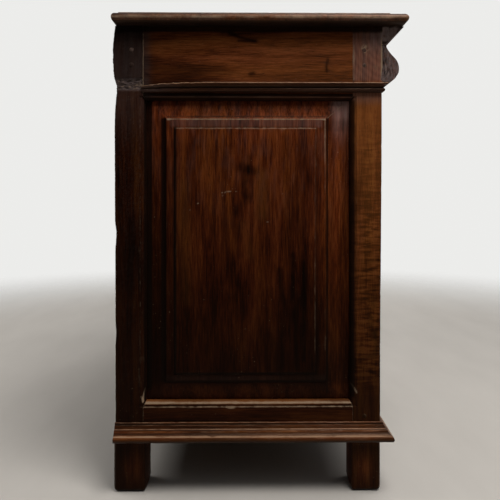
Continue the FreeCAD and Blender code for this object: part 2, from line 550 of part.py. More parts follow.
# turned knob with a spigot: (radius, distance along the axis), spigot first
knob = turned("knob_turned", [
    ("0", "0"), ("6", "0"), ("6", "17.5"), ("10.5", "17.5"), ("11", "19.5"), ("9", "21.5"), ("6.5", "24.5"),
    ("7", "27.5"), ("12", "31.5"), ("14.5", "35"), ("14.5", "38"), ("12", "41.5"), ("7", "43.8"), ("0", "44.5")],
    (KNOB_X, "y_front-ogee_out-knob_long+44.5", "knob_level"), Rotation(Vector(0, 0, 1), 180))
left_drawer_knob = node("left_drawer_knob", knob)
for label, source in (("right_drawer_front", left_drawer_front), ("right_drawer_sides", left_drawer_sides),
                      ("right_drawer_back", left_drawer_back), ("right_drawer_bottom", left_drawer_bottom),
                      ("right_drawer_knob", left_drawer_knob)):
    node(label, mirror(label, source))

# ---------------------------------------------------------------------------------------------
# Left door and its mirror
# ---------------------------------------------------------------------------------------------
OX0 = "-(%s)+door_gap" % INNER
OX1 = "-muntin_half-door_gap"
DY = ("y_front", "y_front+door_thick")
stile_h = box("stile_hinge_bar", OX0, OX0 + "+stile_wide", DY[0], DY[1], "door_low", "door_top")
stile_k = box("stile_lock_bar", OX1 + "-stile_wide", OX1, DY[0], DY[1], "door_low", "door_top")
PX0 = OX0 + "+stile_wide"
PX1 = OX1 + "-stile_wide"
PZ0 = "door_low+low_rail_wide"
PZ1 = "door_top-stile_wide"
rail_t = box("door_rail_top_bar", PX0, PX1, DY[0], DY[1], PZ1, "door_top")
rail_b = box("door_rail_low_bar", PX0, PX1, DY[0], DY[1], "door_low", PZ0)
door_tenons = {}
for key, (z0, z1) in {"top": (PZ1 + "+14", "door_top-8"), "low": ("door_low+8", PZ0 + "-14")}.items():
    door_tenons[key] = (
        box("door_tenon_h_" + key, PX0 + "-door_tenon", PX0, "y_front+9", "y_front+17", z0, z1),
        box("door_tenon_k_" + key, PX1, PX1 + "+door_tenon", "y_front+9", "y_front+17", z0, z1))
PCX = "-(case_half-post_wide+muntin_half)/2"
PHALF = "(case_half-post_wide-muntin_half)/2-door_gap-stile_wide"
door_opening = frustum(
    "door_opening", ("-(%s)" % PHALF, PHALF, PZ0, PZ1),
    ("-(%s)-11" % PHALF, "%s+11" % PHALF, PZ0 + "-11", PZ1 + "+11"), "11", TURN_Y, (PCX, "y_front+10", "0"))
door_groove = box("door_groove", PX0 + "-9", PX1 + "+9", "y_front+12", "y_front+19", PZ0 + "-9", PZ1 + "+9")
door_leaf_seats = [box("door_leaf_seat_%d" % i, OX0 + "-1", OX0 + "+2", "y_front-1", "y_front-4+leaf_deep", z, z + "+hinge_tall")
                   for i, z in enumerate(HINGES)]
key_round = rod("key_round", "3.4", "door_thick+4", "-key_x", "y_front-2", "key_level", "Y")
key_slot = box("key_slot", "-key_x-1.9", "-key_x+1.9", "y_front-2", "y_front+door_thick+2", "key_level-10", "key_level")
keyhole = fuse("keyhole", key_round, key_slot)
left_hinge_stile = node("left_door_hinge_stile", cut(
    "left_door_hinge_stile", stile_h, door_opening, door_groove, door_tenons["top"][0], door_tenons["low"][0], *door_leaf_seats))
left_lock_stile = node("left_door_lock_stile", cut(
    "left_door_lock_stile", stile_k, door_opening, door_groove, door_tenons["top"][1], door_tenons["low"][1], keyhole))
left_top_rail = node("left_door_top_rail", cut(
    "left_door_top_rail", fuse("door_rail_top_stock", rail_t, *door_tenons["top"]), door_opening, door_groove))
left_bottom_rail = node("left_door_bottom_rail", cut(
    "left_door_bottom_rail", fuse("door_rail_low_stock", rail_b, *door_tenons["low"]), door_opening, door_groove))
left_door_panel = node("left_door_panel", fuse(
    "left_door_panel",
    box("door_tongue", PX0 + "-8", PX1 + "+8", "y_front+12", "y_front+19", PZ0 + "-8", PZ1 + "+8"),
    frustum("door_bevel", ("-(%s)" % PHALF, PHALF, PZ0, PZ1),
            ("-(%s)+40" % PHALF, "%s-40" % PHALF, PZ0 + "+34", PZ1 + "-34"), "5.5", TURN_Y, (PCX, "y_front+12", "0")),
    box("door_band", PX0 + "+40", PX1 + "-40", "y_front+4", "y_front+12", PZ0 + "+34", PZ1 + "-34"),
    box("door_field", PX0 + "+59", PX1 + "-59", "y_front+1.5", "y_front+12", PZ0 + "+52", PZ1 + "-52")))

# pin hinges: the post half carries the pin and two knuckles, the door half the middle knuckle
BX = "-barrel_x"
BY = "y_front-barrel_out"
post_halves = []
door_halves = []
for i, z in enumerate(HINGES):
    mid0 = z + "+knuckle"
    mid1 = z + "+knuckle+knuckle"
    end = z + "+hinge_tall"
    post_leaf = cut("post_leaf_%d" % i,
                    box("post_leaf_bar_%d" % i, BX + "-1-leaf_thick", BX + "-1", "y_front-4", "y_front-4+leaf_deep", z, end),
                    rod("post_leaf_clear_%d" % i, "barrel_rad+0.4", "knuckle+knuckle_gap+knuckle_gap", BX, BY, mid0 + "-knuckle_gap"))
    post_halves.append(fuse(
        "post_half_%d" % i, post_leaf, rod("post_knuckle_low_%d" % i, "barrel_rad", "knuckle-knuckle_gap", BX, BY, z),
        rod("post_knuckle_top_%d" % i, "barrel_rad", "knuckle-knuckle_gap", BX, BY, mid1 + "+knuckle_gap"),
        rod("hinge_pin_%d" % i, "pin_rad", "hinge_tall", BX, BY, z)))
    door_leaf = cut("door_leaf_%d" % i,
                    box("door_leaf_bar_%d" % i, BX + "+1", BX + "+1+leaf_thick", "y_front-4", "y_front-4+leaf_deep", z, end),
                    rod("door_leaf_clear_low_%d" % i, "barrel_rad+0.4", "knuckle", BX, BY, z),
                    rod("door_leaf_clear_top_%d" % i, "barrel_rad+0.4", "knuckle", BX, BY, mid1))
    door_halves.append(cut("door_half_%d" % i, fuse("door_half_stock_%d" % i, door_leaf, rod(
        "door_knuckle_%d" % i, "barrel_rad", "knuckle", BX, BY, mid0)), rod(
        "door_bore_%d" % i, "pin_rad+pin_fit", "hinge_tall+2", BX, BY, z + "-1")))
far_halves = [mirror("post_half_far_%d" % i, h) for i, h in enumerate(post_halves)]
node("hinge_post_halves", group("hinge_post_halves", *(post_halves + far_halves)))
left_door_hinges = node("left_door_hinges", group("left_door_hinges", *door_halves))

# lock on the inside of the lock stile: case, sliding bolt, key and key plate
LY0 = "y_front+door_thick"
lock_outer = box("lock_outer", "-case_left", "-case_right", LY0, LY0 + "+case_deep", "case_low", "case_high")
lock_inner = box("lock_inner", "-case_left+case_wall", "-case_right-case_wall", LY0 + "-1", LY0 + "+case_deep-case_wall",
                 "case_low+case_wall", "case_high-case_wall")
lock_mouth = box("lock_mouth", "-case_right-case_wall-1", "-case_right+1", BOLT_Y0 + "-0.5", BOLT_Y0 + "+bolt_deep+0.5",
                 "bolt_low-0.5", "bolt_low+bolt_tall+0.5")
left_lock = node("left_door_lock", cut("left_door_lock", lock_outer, lock_inner, lock_mouth))
left_bolt = node("left_door_bolt", box("left_door_bolt", "-case_left+8", "-case_right-0.5", BOLT_Y0, BOLT_Y0 + "+bolt_deep",
                                       "bolt_low", "bolt_low+bolt_tall"))
key_shank = rod("key_shank", "shank_rad", "58", "-key_x", "y_front-20", "key_level", "Y")
key_collar = rod("key_collar", "4.4", "3", "-key_x", "y_front-6", "key_level", "Y")
key_bit = box("key_bit", "-key_x-1.2", "-key_x+1.2", "y_front+door_thick+2.5", "y_front+door_thick+10",
              "key_level-9", "key_level")
key_bow = cut("key_bow", rod("key_bow_disc", "bow_rad", "bow_thick", "-key_x-bow_thick/2", "y_front-29", "key_level", "X"),
              rod("key_bow_eye", "bow_hole", "bow_thick+2", "-key_x-bow_thick/2-1", "y_front-29", "key_level", "X"))
left_key = node("left_door_key", fuse("left_door_key", key_shank, key_collar, key_bit, key_bow))
left_plate = node("left_key_plate", cut("left_key_plate", box(
    "key_plate_bar", "-key_x-12", "-key_x+12", "y_front-plate_thick", "y_front", "key_level-24", "key_level+20"), keyhole))
for label, source in (("right_door_hinge_stile", left_hinge_stile), ("right_door_lock_stile", left_lock_stile),
                      ("right_door_top_rail", left_top_rail), ("right_door_bottom_rail", left_bottom_rail),
                      ("right_door_panel", left_door_panel), ("right_door_hinges", left_door_hinges),
                      ("right_door_lock", left_lock), ("right_door_bolt", left_bolt), ("right_door_key", left_key),
                      ("right_key_plate", left_plate)):
    node(label, mirror(label, source))

# ---------------------------------------------------------------------------------------------
# Checks and files
# ---------------------------------------------------------------------------------------------
doc.recompute()
for obj in doc.Objects:
    if "Invalid" in obj.State or "Error" in obj.State:
        raise RuntimeError("%s (%s) failed: %s" % (obj.Name, obj.Label, obj.State))
for obj in NODES:
    if obj.Shape.isNull() or not obj.Shape.isValid() or not obj.Shape.Solids:
        raise RuntimeError("%s has no valid solid" % obj.Label)
os.makedirs("parts", exist_ok=True)
total = FreeCAD.BoundBox()
for obj in NODES:
    obj.Shape.exportStep("parts/%s.step" % obj.Label)
    total.add(obj.Shape.BoundBox)
    print("%-24s solids %2d  volume %10.0f" % (obj.Label, len(obj.Shape.Solids), obj.Shape.Volume))
print("nodes", len(NODES), "box", total)
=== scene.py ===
import json
import math

import bpy
import numpy as np
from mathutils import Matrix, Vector


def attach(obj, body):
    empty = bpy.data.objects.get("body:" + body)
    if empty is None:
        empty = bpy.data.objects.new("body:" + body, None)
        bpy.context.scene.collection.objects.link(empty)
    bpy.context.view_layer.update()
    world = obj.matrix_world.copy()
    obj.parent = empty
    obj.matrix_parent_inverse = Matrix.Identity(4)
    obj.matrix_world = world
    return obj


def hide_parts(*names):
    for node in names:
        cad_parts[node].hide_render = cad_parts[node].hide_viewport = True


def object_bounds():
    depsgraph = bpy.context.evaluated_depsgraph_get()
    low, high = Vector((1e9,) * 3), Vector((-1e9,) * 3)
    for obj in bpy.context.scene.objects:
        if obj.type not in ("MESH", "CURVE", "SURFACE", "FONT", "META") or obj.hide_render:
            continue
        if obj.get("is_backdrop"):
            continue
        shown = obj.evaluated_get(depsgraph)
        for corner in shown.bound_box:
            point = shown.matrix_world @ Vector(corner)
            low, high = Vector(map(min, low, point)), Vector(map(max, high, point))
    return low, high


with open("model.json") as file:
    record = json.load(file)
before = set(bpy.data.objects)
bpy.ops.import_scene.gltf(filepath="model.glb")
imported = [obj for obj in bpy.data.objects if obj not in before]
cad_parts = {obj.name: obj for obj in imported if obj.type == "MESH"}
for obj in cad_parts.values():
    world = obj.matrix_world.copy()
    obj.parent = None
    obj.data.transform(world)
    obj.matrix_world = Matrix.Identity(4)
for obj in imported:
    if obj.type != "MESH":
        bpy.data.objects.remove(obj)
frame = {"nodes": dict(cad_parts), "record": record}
cad_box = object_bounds()

RECORD = frame["record"]
SLOT = {p["node"]: p["material_slot"] for p in RECORD["subparts"]}
BODY = {n: b for b, members in RECORD["behaviour"]["bodies"].items() for n in members}
MM = 0.001


# ---------------------------------------------------------------- noise
def hash3(i, j, k, seed):
    n = (i * 73856093) ^ (j * 19349663) ^ (k * 83492791) ^ (seed * 2654435761)
    n = n & 0xFFFFFFFF
    n = ((n ^ (n >> 16)) * 0x45D9F3B) & 0xFFFFFFFF
    n = ((n ^ (n >> 16)) * 0x45D9F3B) & 0xFFFFFFFF
    n = n ^ (n >> 16)
    return n / 4294967295.0


def vnoise(p, seed=0):
    f = np.floor(p)
    t = p - f
    t = t * t * (3 - 2 * t)
    i = f.astype(np.int64)
    out = np.zeros(len(p))
    for dx in (0, 1):
        wx = t[:, 0] if dx else 1 - t[:, 0]
        for dy in (0, 1):
            wy = t[:, 1] if dy else 1 - t[:, 1]
            for dz in (0, 1):
                wz = t[:, 2] if dz else 1 - t[:, 2]
                out += wx * wy * wz * hash3(i[:, 0] + dx, i[:, 1] + dy, i[:, 2] + dz, seed)
    return out * 2 - 1


def fbm(p, seed=0, octaves=3, gain=0.5):
    p = np.asarray(p, float)
    out, amp, total = np.zeros(len(p)), 1.0, 0.0
    for o in range(octaves):
        out += amp * vnoise(p * 2.0 ** o + 17.3 * o, seed + 101 * o)
        total += amp
        amp *= gain
    return out / total


def noise1(x, seed=0, octaves=3):
    x = np.asarray(x, float)
    flat = x.ravel()
    return fbm(np.stack([flat, flat * 0 + 0.5, flat * 0 + 0.5], 1), seed, octaves).reshape(x.shape)


def chance(seed, n=1):
    i = np.arange(n, dtype=np.int64)
    return hash3(i + 11, i * 0 + 5, i * 0 + 3, seed * 7 + 1)


def smooth(a, b, x):
    t = np.clip((np.asarray(x, float) - a) / (b - a), 0, 1)
    return t * t * (3 - 2 * t)


# ---------------------------------------------------------------- mesh tools: every builder gives (points in mm, quads, polygons)
def volume(V, Q, P):
    tri = [Q[:, [0, 1, 2]], Q[:, [0, 2, 3]]]
    for p in P:
        p = np.asarray(p)
        tri.append(np.stack([np.full(len(p) - 2, p[0]), p[1:-1], p[2:]], 1))
    t = np.concatenate(tri)
    c = V.mean(0)
    a, b, d = V[t[:, 0]] - c, V[t[:, 1]] - c, V[t[:, 2]] - c
    return float((np.cross(a, b) * d).sum()) / 6


def outward(V, Q, P=()):
    V = np.asarray(V, float)
    Q = np.asarray(Q, np.int64).reshape(-1, 4)
    P = [np.asarray(p, np.int64) for p in P]
    if volume(V, Q, P) < 0:
        Q = Q[:, ::-1].copy()
        P = [p[::-1].copy() for p in P]
    return V, Q, P


def mirrored(part):
    V, Q, P = part
    V = V * np.array([-1.0, 1, 1])
    return V, Q[:, ::-1].copy(), [p[::-1].copy() for p in P]


def merged(*parts):
    Vs, Qs, Ps, n = [], [], [], 0
    for V, Q, P in parts:
        Vs.append(V)
        Qs.append(Q + n)
        Ps += [p + n for p in P]
        n += len(V)
    return np.concatenate(Vs), np.concatenate(Qs), Ps


def edges_of(Q, P):
    e = [Q[:, [0, 1]], Q[:, [1, 2]], Q[:, [2, 3]], Q[:, [3, 0]]]
    for p in P:
        e.append(np.stack([p, np.roll(p, -1)], 1))
    e = np.sort(np.concatenate(e), 1)
    return np.unique(e, axis=0)


def normals_of(V, Q, P):
    N = np.zeros_like(V)
    if len(Q):
        n = np.cross(V[Q[:, 2]] - V[Q[:, 0]], V[Q[:, 3]] - V[Q[:, 1]])
        n /= np.maximum(np.linalg.norm(n, axis=1, keepdims=True), 1e-12)
        for c in range(4):
            for k in range(3):
                N[:, k] += np.bincount(Q[:, c], weights=n[:, k], minlength=len(V))
    for p in P:
        a = V[p]
        n = np.cross(a, np.roll(a, -1, 0)).sum(0)
        n /= max(np.linalg.norm(n), 1e-12)
        N[p] += n
    return N / np.maximum(np.linalg.norm(N, axis=1, keepdims=True), 1e-12)


def spread(x, E, times):
    """The attribute x, averaged with its neighbours."""
    for _ in range(times):
        s = np.bincount(E[:, 0], weights=x[E[:, 1]], minlength=len(x)) + np.bincount(E[:, 1], weights=x[E[:, 0]], minlength=len(x))
        c = np.bincount(E.ravel(), minlength=len(x))
        x = 0.5 * x + 0.5 * s / np.maximum(c, 1)
    return x


def bends(V, N, E):
    """How sharply the surface turns out and in at each point, 0 to 1 where 1 is a 2 mm radius or less."""
    d = V[E[:, 1]] - V[E[:, 0]]
    l2 = (d * d).sum(1) + 1e-6
    k0 = 2 * (N[E[:, 0]] * d).sum(1) / l2
    k1 = -2 * (N[E[:, 1]] * d).sum(1) / l2
    lo, hi = np.zeros(len(V)), np.zeros(len(V))
    for e, k in ((E[:, 0], k0), (E[:, 1], k1)):
        np.minimum.at(lo, e, k)
        np.maximum.at(hi, e, k)
    return np.clip(-lo * 2.0, 0, 1), np.clip(hi * 2.0, 0, 1)


GRAIN = {"x": (0, 1, 2), "y": (1, 2, 0), "z": (2, 0, 1)}
COUNT = [0]


def piece(name, parts, node, look, grain="x", und=0.25, wl=60.0, chip=0.5, paint=None, carve=None, seed=None, soft=38, slot=None, wear=1.0,
          body=None, stands_for=True):
    """One visible piece of one or more solids, worn and with the attributes that its material reads."""
    COUNT[0] += 1
    seed = COUNT[0] * 13 if seed is None else seed
    Vs, Qs, Ps, attrs, n = [], [], [], {k: [] for k in ("gco", "wear", "dirt", "tone", "warm", "pale", "ripple", "grey")}, 0
    for i, part in enumerate(parts):
        V, Q, P = outward(*part[:3])
        g = part[3] if len(part) > 3 else grain
        N, E = normals_of(V, Q, P), edges_of(Q, P)
        out, inn = bends(V, N, E)
        s = seed + 7 * i
        p = np.take(V, GRAIN[g], 1)
        shift = (chance(s, 3) - 0.5) * np.array([4000.0, 900.0, 900.0])
        gco = (p + shift) * MM
        drop = und * (0.5 + 0.5 * fbm(p / np.array([wl * 2.2, wl, wl]), s + 3, 2))
        if chip:
            c = np.clip(fbm(V / 11.0, s + 5, 3) * 2.2 - 0.35, 0, 1)
            drop = drop + chip * spread(out, E, 2) * (c + 0.12)
        W = V - N * drop[:, None]
        extra = {}
        if carve:
            W = carve(V, W, N, i)
        if paint:
            extra = paint(V, N, i)
        Vs.append(W)
        Qs.append(Q + n)
        Ps += [q + n for q in P]
        n += len(V)
        attrs["gco"].append(gco)
        attrs["wear"].append(np.clip(spread(out, E, 3) * wear + 0, 0, 1))
        # dark in hollows and creases: dirt and old wax, and painted shade standing in for occlusion; the paint
        # functions add painted shadows through this attribute too
        attrs["dirt"].append(np.clip(spread(inn, E, 4) + extra.get("dirt", 0), 0, 1))
        own = 1 + 0.16 * (chance(s + 1)[0] - 0.5) * 2 if len(parts) > 1 else 1.0
        attrs["tone"].append(np.ones(len(V)) * own * extra.get("tone", 1))
        attrs["warm"].append(np.zeros(len(V)) + extra.get("warm", 0))
        attrs["pale"].append(np.clip(np.zeros(len(V)) + extra.get("pale", 0), 0, 1))
        attrs["ripple"].append(np.zeros(len(V)) + extra.get("ripple", 0))
        attrs["grey"].append(np.clip(np.zeros(len(V)) + extra.get("grey", 0), 0, 1))
    V, Q = np.concatenate(Vs), np.concatenate(Qs)
    me = bpy.data.meshes.new(name)
    loops = np.concatenate([Q.ravel()] + list(Ps))
    sizes = np.concatenate([np.full(len(Q), 4), np.array([len(p) for p in Ps], np.int64)])
    starts = np.concatenate([[0], np.cumsum(sizes)[:-1]])
    me.vertices.add(len(V))
    me.vertices.foreach_set("co", (V * MM).astype(np.float32).ravel())
    me.loops.add(len(loops))
    me.loops.foreach_set("vertex_index", loops.astype(np.int32))
    me.polygons.add(len(sizes))
    me.polygons.foreach_set("loop_start", starts.astype(np.int32))
    me.update(calc_edges=True)
    me.validate()
    for k, v in attrs.items():
        a = me.attributes.new(k, "FLOAT_VECTOR" if k == "gco" else "FLOAT", "POINT")
        data = np.concatenate(v).astype(np.float32)
        a.data.foreach_set("vector" if k == "gco" else "value", data.ravel())
    me.polygons.foreach_set("use_smooth", np.ones(len(me.polygons), bool))
    me.set_sharp_from_angle(angle=math.radians(soft))
    me.materials.append(look)
    ob = bpy.data.objects.new(name, me)
    bpy.context.scene.collection.objects.link(ob)
    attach(ob, body or BODY[node])
    if stands_for:
        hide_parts(node)
    slot or SLOT[node]
    return ob


# ---------------------------------------------------------------- builders
def lines(a, b, r, step, extra=()):
    size = b - a
    r = min(r, 0.42 * size)
    n = max(1, int(math.ceil((size - 2 * r) / step)))
    e = r * np.array([0, 0.4226, 0.732])
    x = np.concatenate([a + e, np.linspace(a + r, b - r, n + 1), (b - e)[::-1]])
    if len(extra):
        keep = np.ones(len(x), bool)
        for v in extra:
            keep &= (np.abs(x - v) > 0.25 * step) | (x <= a + r) | (x >= b - r)
        x = np.sort(np.concatenate([x[keep], extra]))
    return x


def board(lo, hi, r=1.5, step=12.0, pockets=(), seed=1):
    """A sawn and eased length of board. Pockets are (axis, side, lo1, hi1, lo2, hi2, depth)."""
    lo, hi = np.array(lo, float), np.array(hi, float)
    cuts = [[], [], []]
    for ax, _, a0, a1, b0, b1, _ in pockets:
        o = [k for k in range(3) if k != ax]
        cuts[o[0]] += [a0, a1]
        cuts[o[1]] += [b0, b1]
    st = step if np.ndim(step) else [step] * 3
    X = [lines(lo[k], hi[k], r, st[k], sorted(cuts[k])) for k in range(3)]
    n = [len(x) for x in X]
    quads = []
    holes = []
    for ax in range(3):
        o = [k for k in range(3) if k != ax]
        I, J = np.meshgrid(np.arange(n[o[0]] - 1), np.arange(n[o[1]] - 1), indexing="ij")
        for side in (0, 1):
            keep = np.ones(I.shape, bool)
            ci = 0.5 * (X[o[0]][:-1] + X[o[0]][1:])[I]
            cj = 0.5 * (X[o[1]][:-1] + X[o[1]][1:])[J]
            for pk in pockets:
                if pk[0] == ax and pk[1] == side:
                    keep &= ~((ci > pk[2]) & (ci < pk[3]) & (cj > pk[4]) & (cj < pk[5]))
            i, j = I[keep], J[keep]
            idx = []
            for di, dj in ((0, 0), (1, 0), (1, 1), (0, 1)):
                ijk = [None] * 3
                ijk[ax] = np.full(len(i), (n[ax] - 1) * side)
                ijk[o[0]] = i + di
                ijk[o[1]] = j + dj
                idx.append((ijk[0] * n[1] + ijk[1]) * n[2] + ijk[2])
            q = np.stack(idx, 1)
            # for axes 0 and 2 the order (o0, o1) is right-handed with +axis, for axis 1 it is left-handed
            flip = (side == 0) != (ax == 1)
            quads.append(q[:, ::-1] if flip else q)
    Q = np.concatenate(quads)
    used, inv = np.unique(Q, return_inverse=True)
    Q = inv.reshape(-1, 4)
    k = used % n[2]
    j = (used // n[2]) % n[1]
    i = used // (n[1] * n[2])
    V = np.stack([X[0][i], X[1][j], X[2][k]], 1)
    rr = np.minimum(r, 0.42 * (hi - lo).min())
    rv = rr * (0.55 + 0.45 * np.clip(fbm(V / 45.0, seed + 9, 2) * 1.6 + 0.3, -1, 1))
    rv = np.clip(rv, 0.15 * rr, rr)[:, None]
    inner = np.clip(V, lo + rv, hi - rv)
    d = V - inner
    L = np.linalg.norm(d, axis=1, keepdims=True)
    edge = (np.abs(d) > 1e-9).sum(1, keepdims=True) > 1
    V = np.where(edge, inner + d / np.maximum(L, 1e-9) * rv, V)
    P = []
    for ax, side, a0, a1, b0, b1, depth in pockets:
        o = [k for k in range(3) if k != ax]
        f = (lo, hi)[side][ax]
        g = f - depth if side else f + depth
        c = np.zeros((8, 3))
        for m, (a, b) in enumerate(((a0, b0), (a1, b0), (a1, b1), (a0, b1))):
            for h, at in enumerate((f, g)):
                c[m + 4 * h, ax], c[m + 4 * h, o[0]], c[m + 4 * h, o[1]] = at, a, b
        q = np.array([[0, 1, 5, 4], [1, 2, 6, 5], [2, 3, 7, 6], [3, 0, 4, 7], [4, 5, 6, 7]])
        flip = (side == 1) != (ax == 1)
        Q = np.concatenate([Q, (q[:, ::-1] if not flip else q) + len(V)])
        V = np.concatenate([V, c])
    return V, Q, P


def tube(R, caps=True):
    """Quads between the rings R, an array of stations x points x 3, with flat ends."""
    n, k = R.shape[:2]
    I, J = np.meshgrid(np.arange(n - 1), np.arange(k), indexing="ij")
    J2 = (J + 1) % k
    Q = np.stack([I * k + J, I * k + J2, (I + 1) * k + J2, (I + 1) * k + J], -1).reshape(-1, 4)
    P = [np.arange(k)[::-1], (n - 1) * k + np.arange(k)] if caps else []
    return R.reshape(-1, 3), Q, P


def quarter(r, n=4):
    a = np.linspace(0, math.pi / 2, n + 1)
    return r * (1 - np.cos(a)), r * (1 - np.sin(a))


def member(W, T, S, place, r=(1.5, 1.0, 1.0, 1.0), step=3.0, back=12.0, side=6.0, mould=None, depth=None, width=None, ends=None, foot=None):
    """A frame member. a runs across its face from its outer edge, d into it, s along it. The moulded inner edge starts at a = mould."""
    ca, cb, cd, face, inner = [], [], [], [], []

    def put(a, b, d, f=0.0, g=-1.0):
        ca.append(a), cb.append(b), cd.append(d), face.append(f), inner.append(g)

    x, y = quarter(r[0])
    for a, d in zip(x, y):
        put(a, 0, d, 1)
    stop = mould if mould is not None else W - r[1]
    n = max(2, int(math.ceil((stop - r[0]) / step)))
    for a in np.linspace(r[0], stop - (0.45 if mould is not None else 0), n + 1)[1:]:
        put(a, 0, 0, 1)
    if mould is not None:
        for f in (0.01, 0.10, 0.22, 0.36, 0.50, 0.63, 0.75, 0.85, 0.93, 0.98, 1.0):
            put(mould * (1 - f), f, 0, 1)
        g = np.linspace(0, 1, 4)[1:]
        for q in g:
            put(0, 1, T - r[2], 0, q)
    else:
        x, y = quarter(r[1])
        for a, d in zip(x[::-1][1:], y[::-1][1:]):
            put(-a, 1, d, 1)
        for q in np.linspace(0, 1, max(2, int(T / side)))[1:]:
            put(0, 1, r[1] + q * (T - r[1] - r[2]))
    x, y = quarter(r[2])
    for a, d in zip(x[1:], y[1:]):
        put(-a, 1, T - d)
    n = max(2, int(W / back))
    for q in np.linspace(1, 0, n + 1)[1:]:
        put(r[3] - q * (r[2] + r[3]), q, T)
    x, y = quarter(r[3])
    for a, d in zip(x[::-1][1:], y[::-1][1:]):
        put(a, 0, T - d)
    n = max(2, int(T / side))
    for q in np.linspace(0, 1, n + 1)[1:-1]:
        put(0, 0, T - r[3] + q * (r[0] - T + r[3]))
    ca, cb, cd, face, inner = (np.array(v)[None, :] for v in (ca, cb, cd, face, inner))
    S = np.asarray(S, float)[:, None]
    win = W if width is None else width(S)
    A = ca + cb * win
    if ends is not None:
        lo, hi = ends(A)
        S = lo + (hi - lo) * S
    else:
        S = S + 0 * A
    D = cd + 0 * A
    if depth is not None:
        fd = depth(A, S)
        D = np.where(face > 0, D + fd, D)
        din = depth(win + 0 * A, S)
        D = np.where(inner >= 0, din * (1 - inner) + inner * cd, D)
    if foot is not None:
        e = foot(S)
        A = A + e * np.clip(1 - 2 * A / W, -1, 1)
        D = D + e * np.clip(1 - 2 * D / T, -1, 1)
    return tube(place(A, D, S))


def stations(a, b, step, extra=()):
    n = max(2, int(math.ceil((b - a) / step)))
    x = np.linspace(a, b, n + 1)
    if len(extra):
        extra = np.array([v for v in extra if a <= v <= b])
        keep = np.array([np.abs(extra - v).min() > 0.3 * step or v in (a, b) for v in x])
        x = np.unique(np.concatenate([x[keep], extra]))
    return x


def eased(poly, cut=0.8, longest=3.0):
    """A closed profile with its corners eased and its sides divided."""
    p = np.asarray(poly, float)
    out = []
    n = len(p)
    for i in range(n):
        a, b, c = p[i - 1], p[i], p[(i + 1) % n]
        la, lc = np.linalg.norm(a - b), np.linalg.norm(c - b)
        u, w = (a - b) / max(la, 1e-9), (c - b) / max(lc, 1e-9)
        turn = math.degrees(math.acos(max(-1, min(1, float(-(u @ w))))))
        k = min(cut, 0.33 * la, 0.33 * lc)
        if turn < 12:
            out.append(b)
        else:
            s, e = b + u * k, b + w * k
            out += [s, 0.25 * s + 0.5 * b + 0.25 * e, e]
    q = []
    m = len(out)
    for i in range(m):
        a, b = out[i], out[(i + 1) % m]
        k = max(1, int(math.ceil(np.linalg.norm(b - a) / longest)))
        q += [a + (b - a) * t / k for t in range(k)]
    return np.array(q)


def extrude(profile, t, lo, hi, place, core=None):
    """A moulded length. lo and hi give where it starts and stops for each profile point, so its ends can be mitred. With a core, its ends are made of rings round that point."""
    p, h = profile[:, 0][None, :], profile[:, 1][None, :]
    a, b = lo(p, h), hi(p, h)
    S = a + (b - a) * np.asarray(t)[:, None]
    p, h = p + 0 * S, h + 0 * S
    if core is not None:
        f = np.array([0.03, 0.12, 0.22, 0.32, 0.42, 0.52, 0.62, 0.71, 0.80, 0.88, 0.95])[:, None]
        inner = [(core[k] + f * (v[:1] - core[k]), core[k] + f[::-1] * (v[-1:] - core[k])) for k, v in enumerate((p, h))]
        p = np.concatenate([inner[0][0], p, inner[0][1]])
        h = np.concatenate([inner[1][0], h, inner[1][1]])
        S = np.concatenate([np.repeat(S[:1], len(f), 0), S, np.repeat(S[-1:], len(f), 0)])
    return tube(place(p, h, S))


def nested(rings, nu, nv, place, back, inside=None):
    """A panel of nested oblongs (u0, u1, v0, v1, d) from the back out, round the edge and in to the field, which is a grid."""
    fu, fv = np.linspace(0, 1, nu + 1), np.linspace(0, 1, nv + 1)
    allr = list(back) + list(rings)
    R = []
    for u0, u1, v0, v1, d in allr:
        u = np.concatenate([u0 + (u1 - u0) * fu[:-1], np.full(nv, u1), u1 - (u1 - u0) * fu[:-1], np.full(nv, u0)])
        v = np.concatenate([np.full(nu, v0), v0 + (v1 - v0) * fv[:-1], np.full(nu, v1), v1 - (v1 - v0) * fv[:-1]])
        R.append(np.stack([u, v, np.full(len(u), d)], 1))
    M = 2 * (nu + nv)
    R = np.array(R)
    V, Q, _ = tube(R, caps=False)
    base = (len(allr) - 1) * M
    u0, u1, v0, v1, d = rings[-1]
    I, J = np.meshgrid(np.arange(nu + 1), np.arange(nv + 1), indexing="ij")
    index = np.full(I.shape, -1)
    index[:, 0] = base + np.arange(nu + 1)
    index[nu, :] = base + nu + np.arange(nv + 1)
    index[:, nv] = base + nu + nv + nu - np.arange(nu + 1)
    index[0, 1:] = base + 2 * nu + nv + nv - np.arange(1, nv + 1)
    index[0, 0] = base
    free = index < 0
    index[free] = len(V) + np.arange(free.sum())
    u = u0 + (u1 - u0) * fu[I[free]]
    v = v0 + (v1 - v0) * fv[J[free]]
    dd = np.full(len(u), d) if inside is None else d + inside(u, v)
    V = np.concatenate([V, np.stack([u, v, dd], 1)])
    g = np.stack([index[:-1, :-1], index[1:, :-1], index[1:, 1:], index[:-1, 1:]], -1).reshape(-1, 4)
    Q = np.concatenate([Q, g])
    P = [np.arange(M)[::-1]]
    X = place(V[:, 0], V[:, 1], V[:, 2])
    return X, Q, P


def between(a, b, n, bow=0.0):
    """Rings between two oblongs, both left out, bowed by that much at the middle."""
    out = []
    for i in range(1, n):
        t = i / n
        out.append(tuple(x + (y - x) * t + (bow * 4 * t * (1 - t) if k == 4 else 0) for k, (x, y) in enumerate(zip(a, b))))
    return out


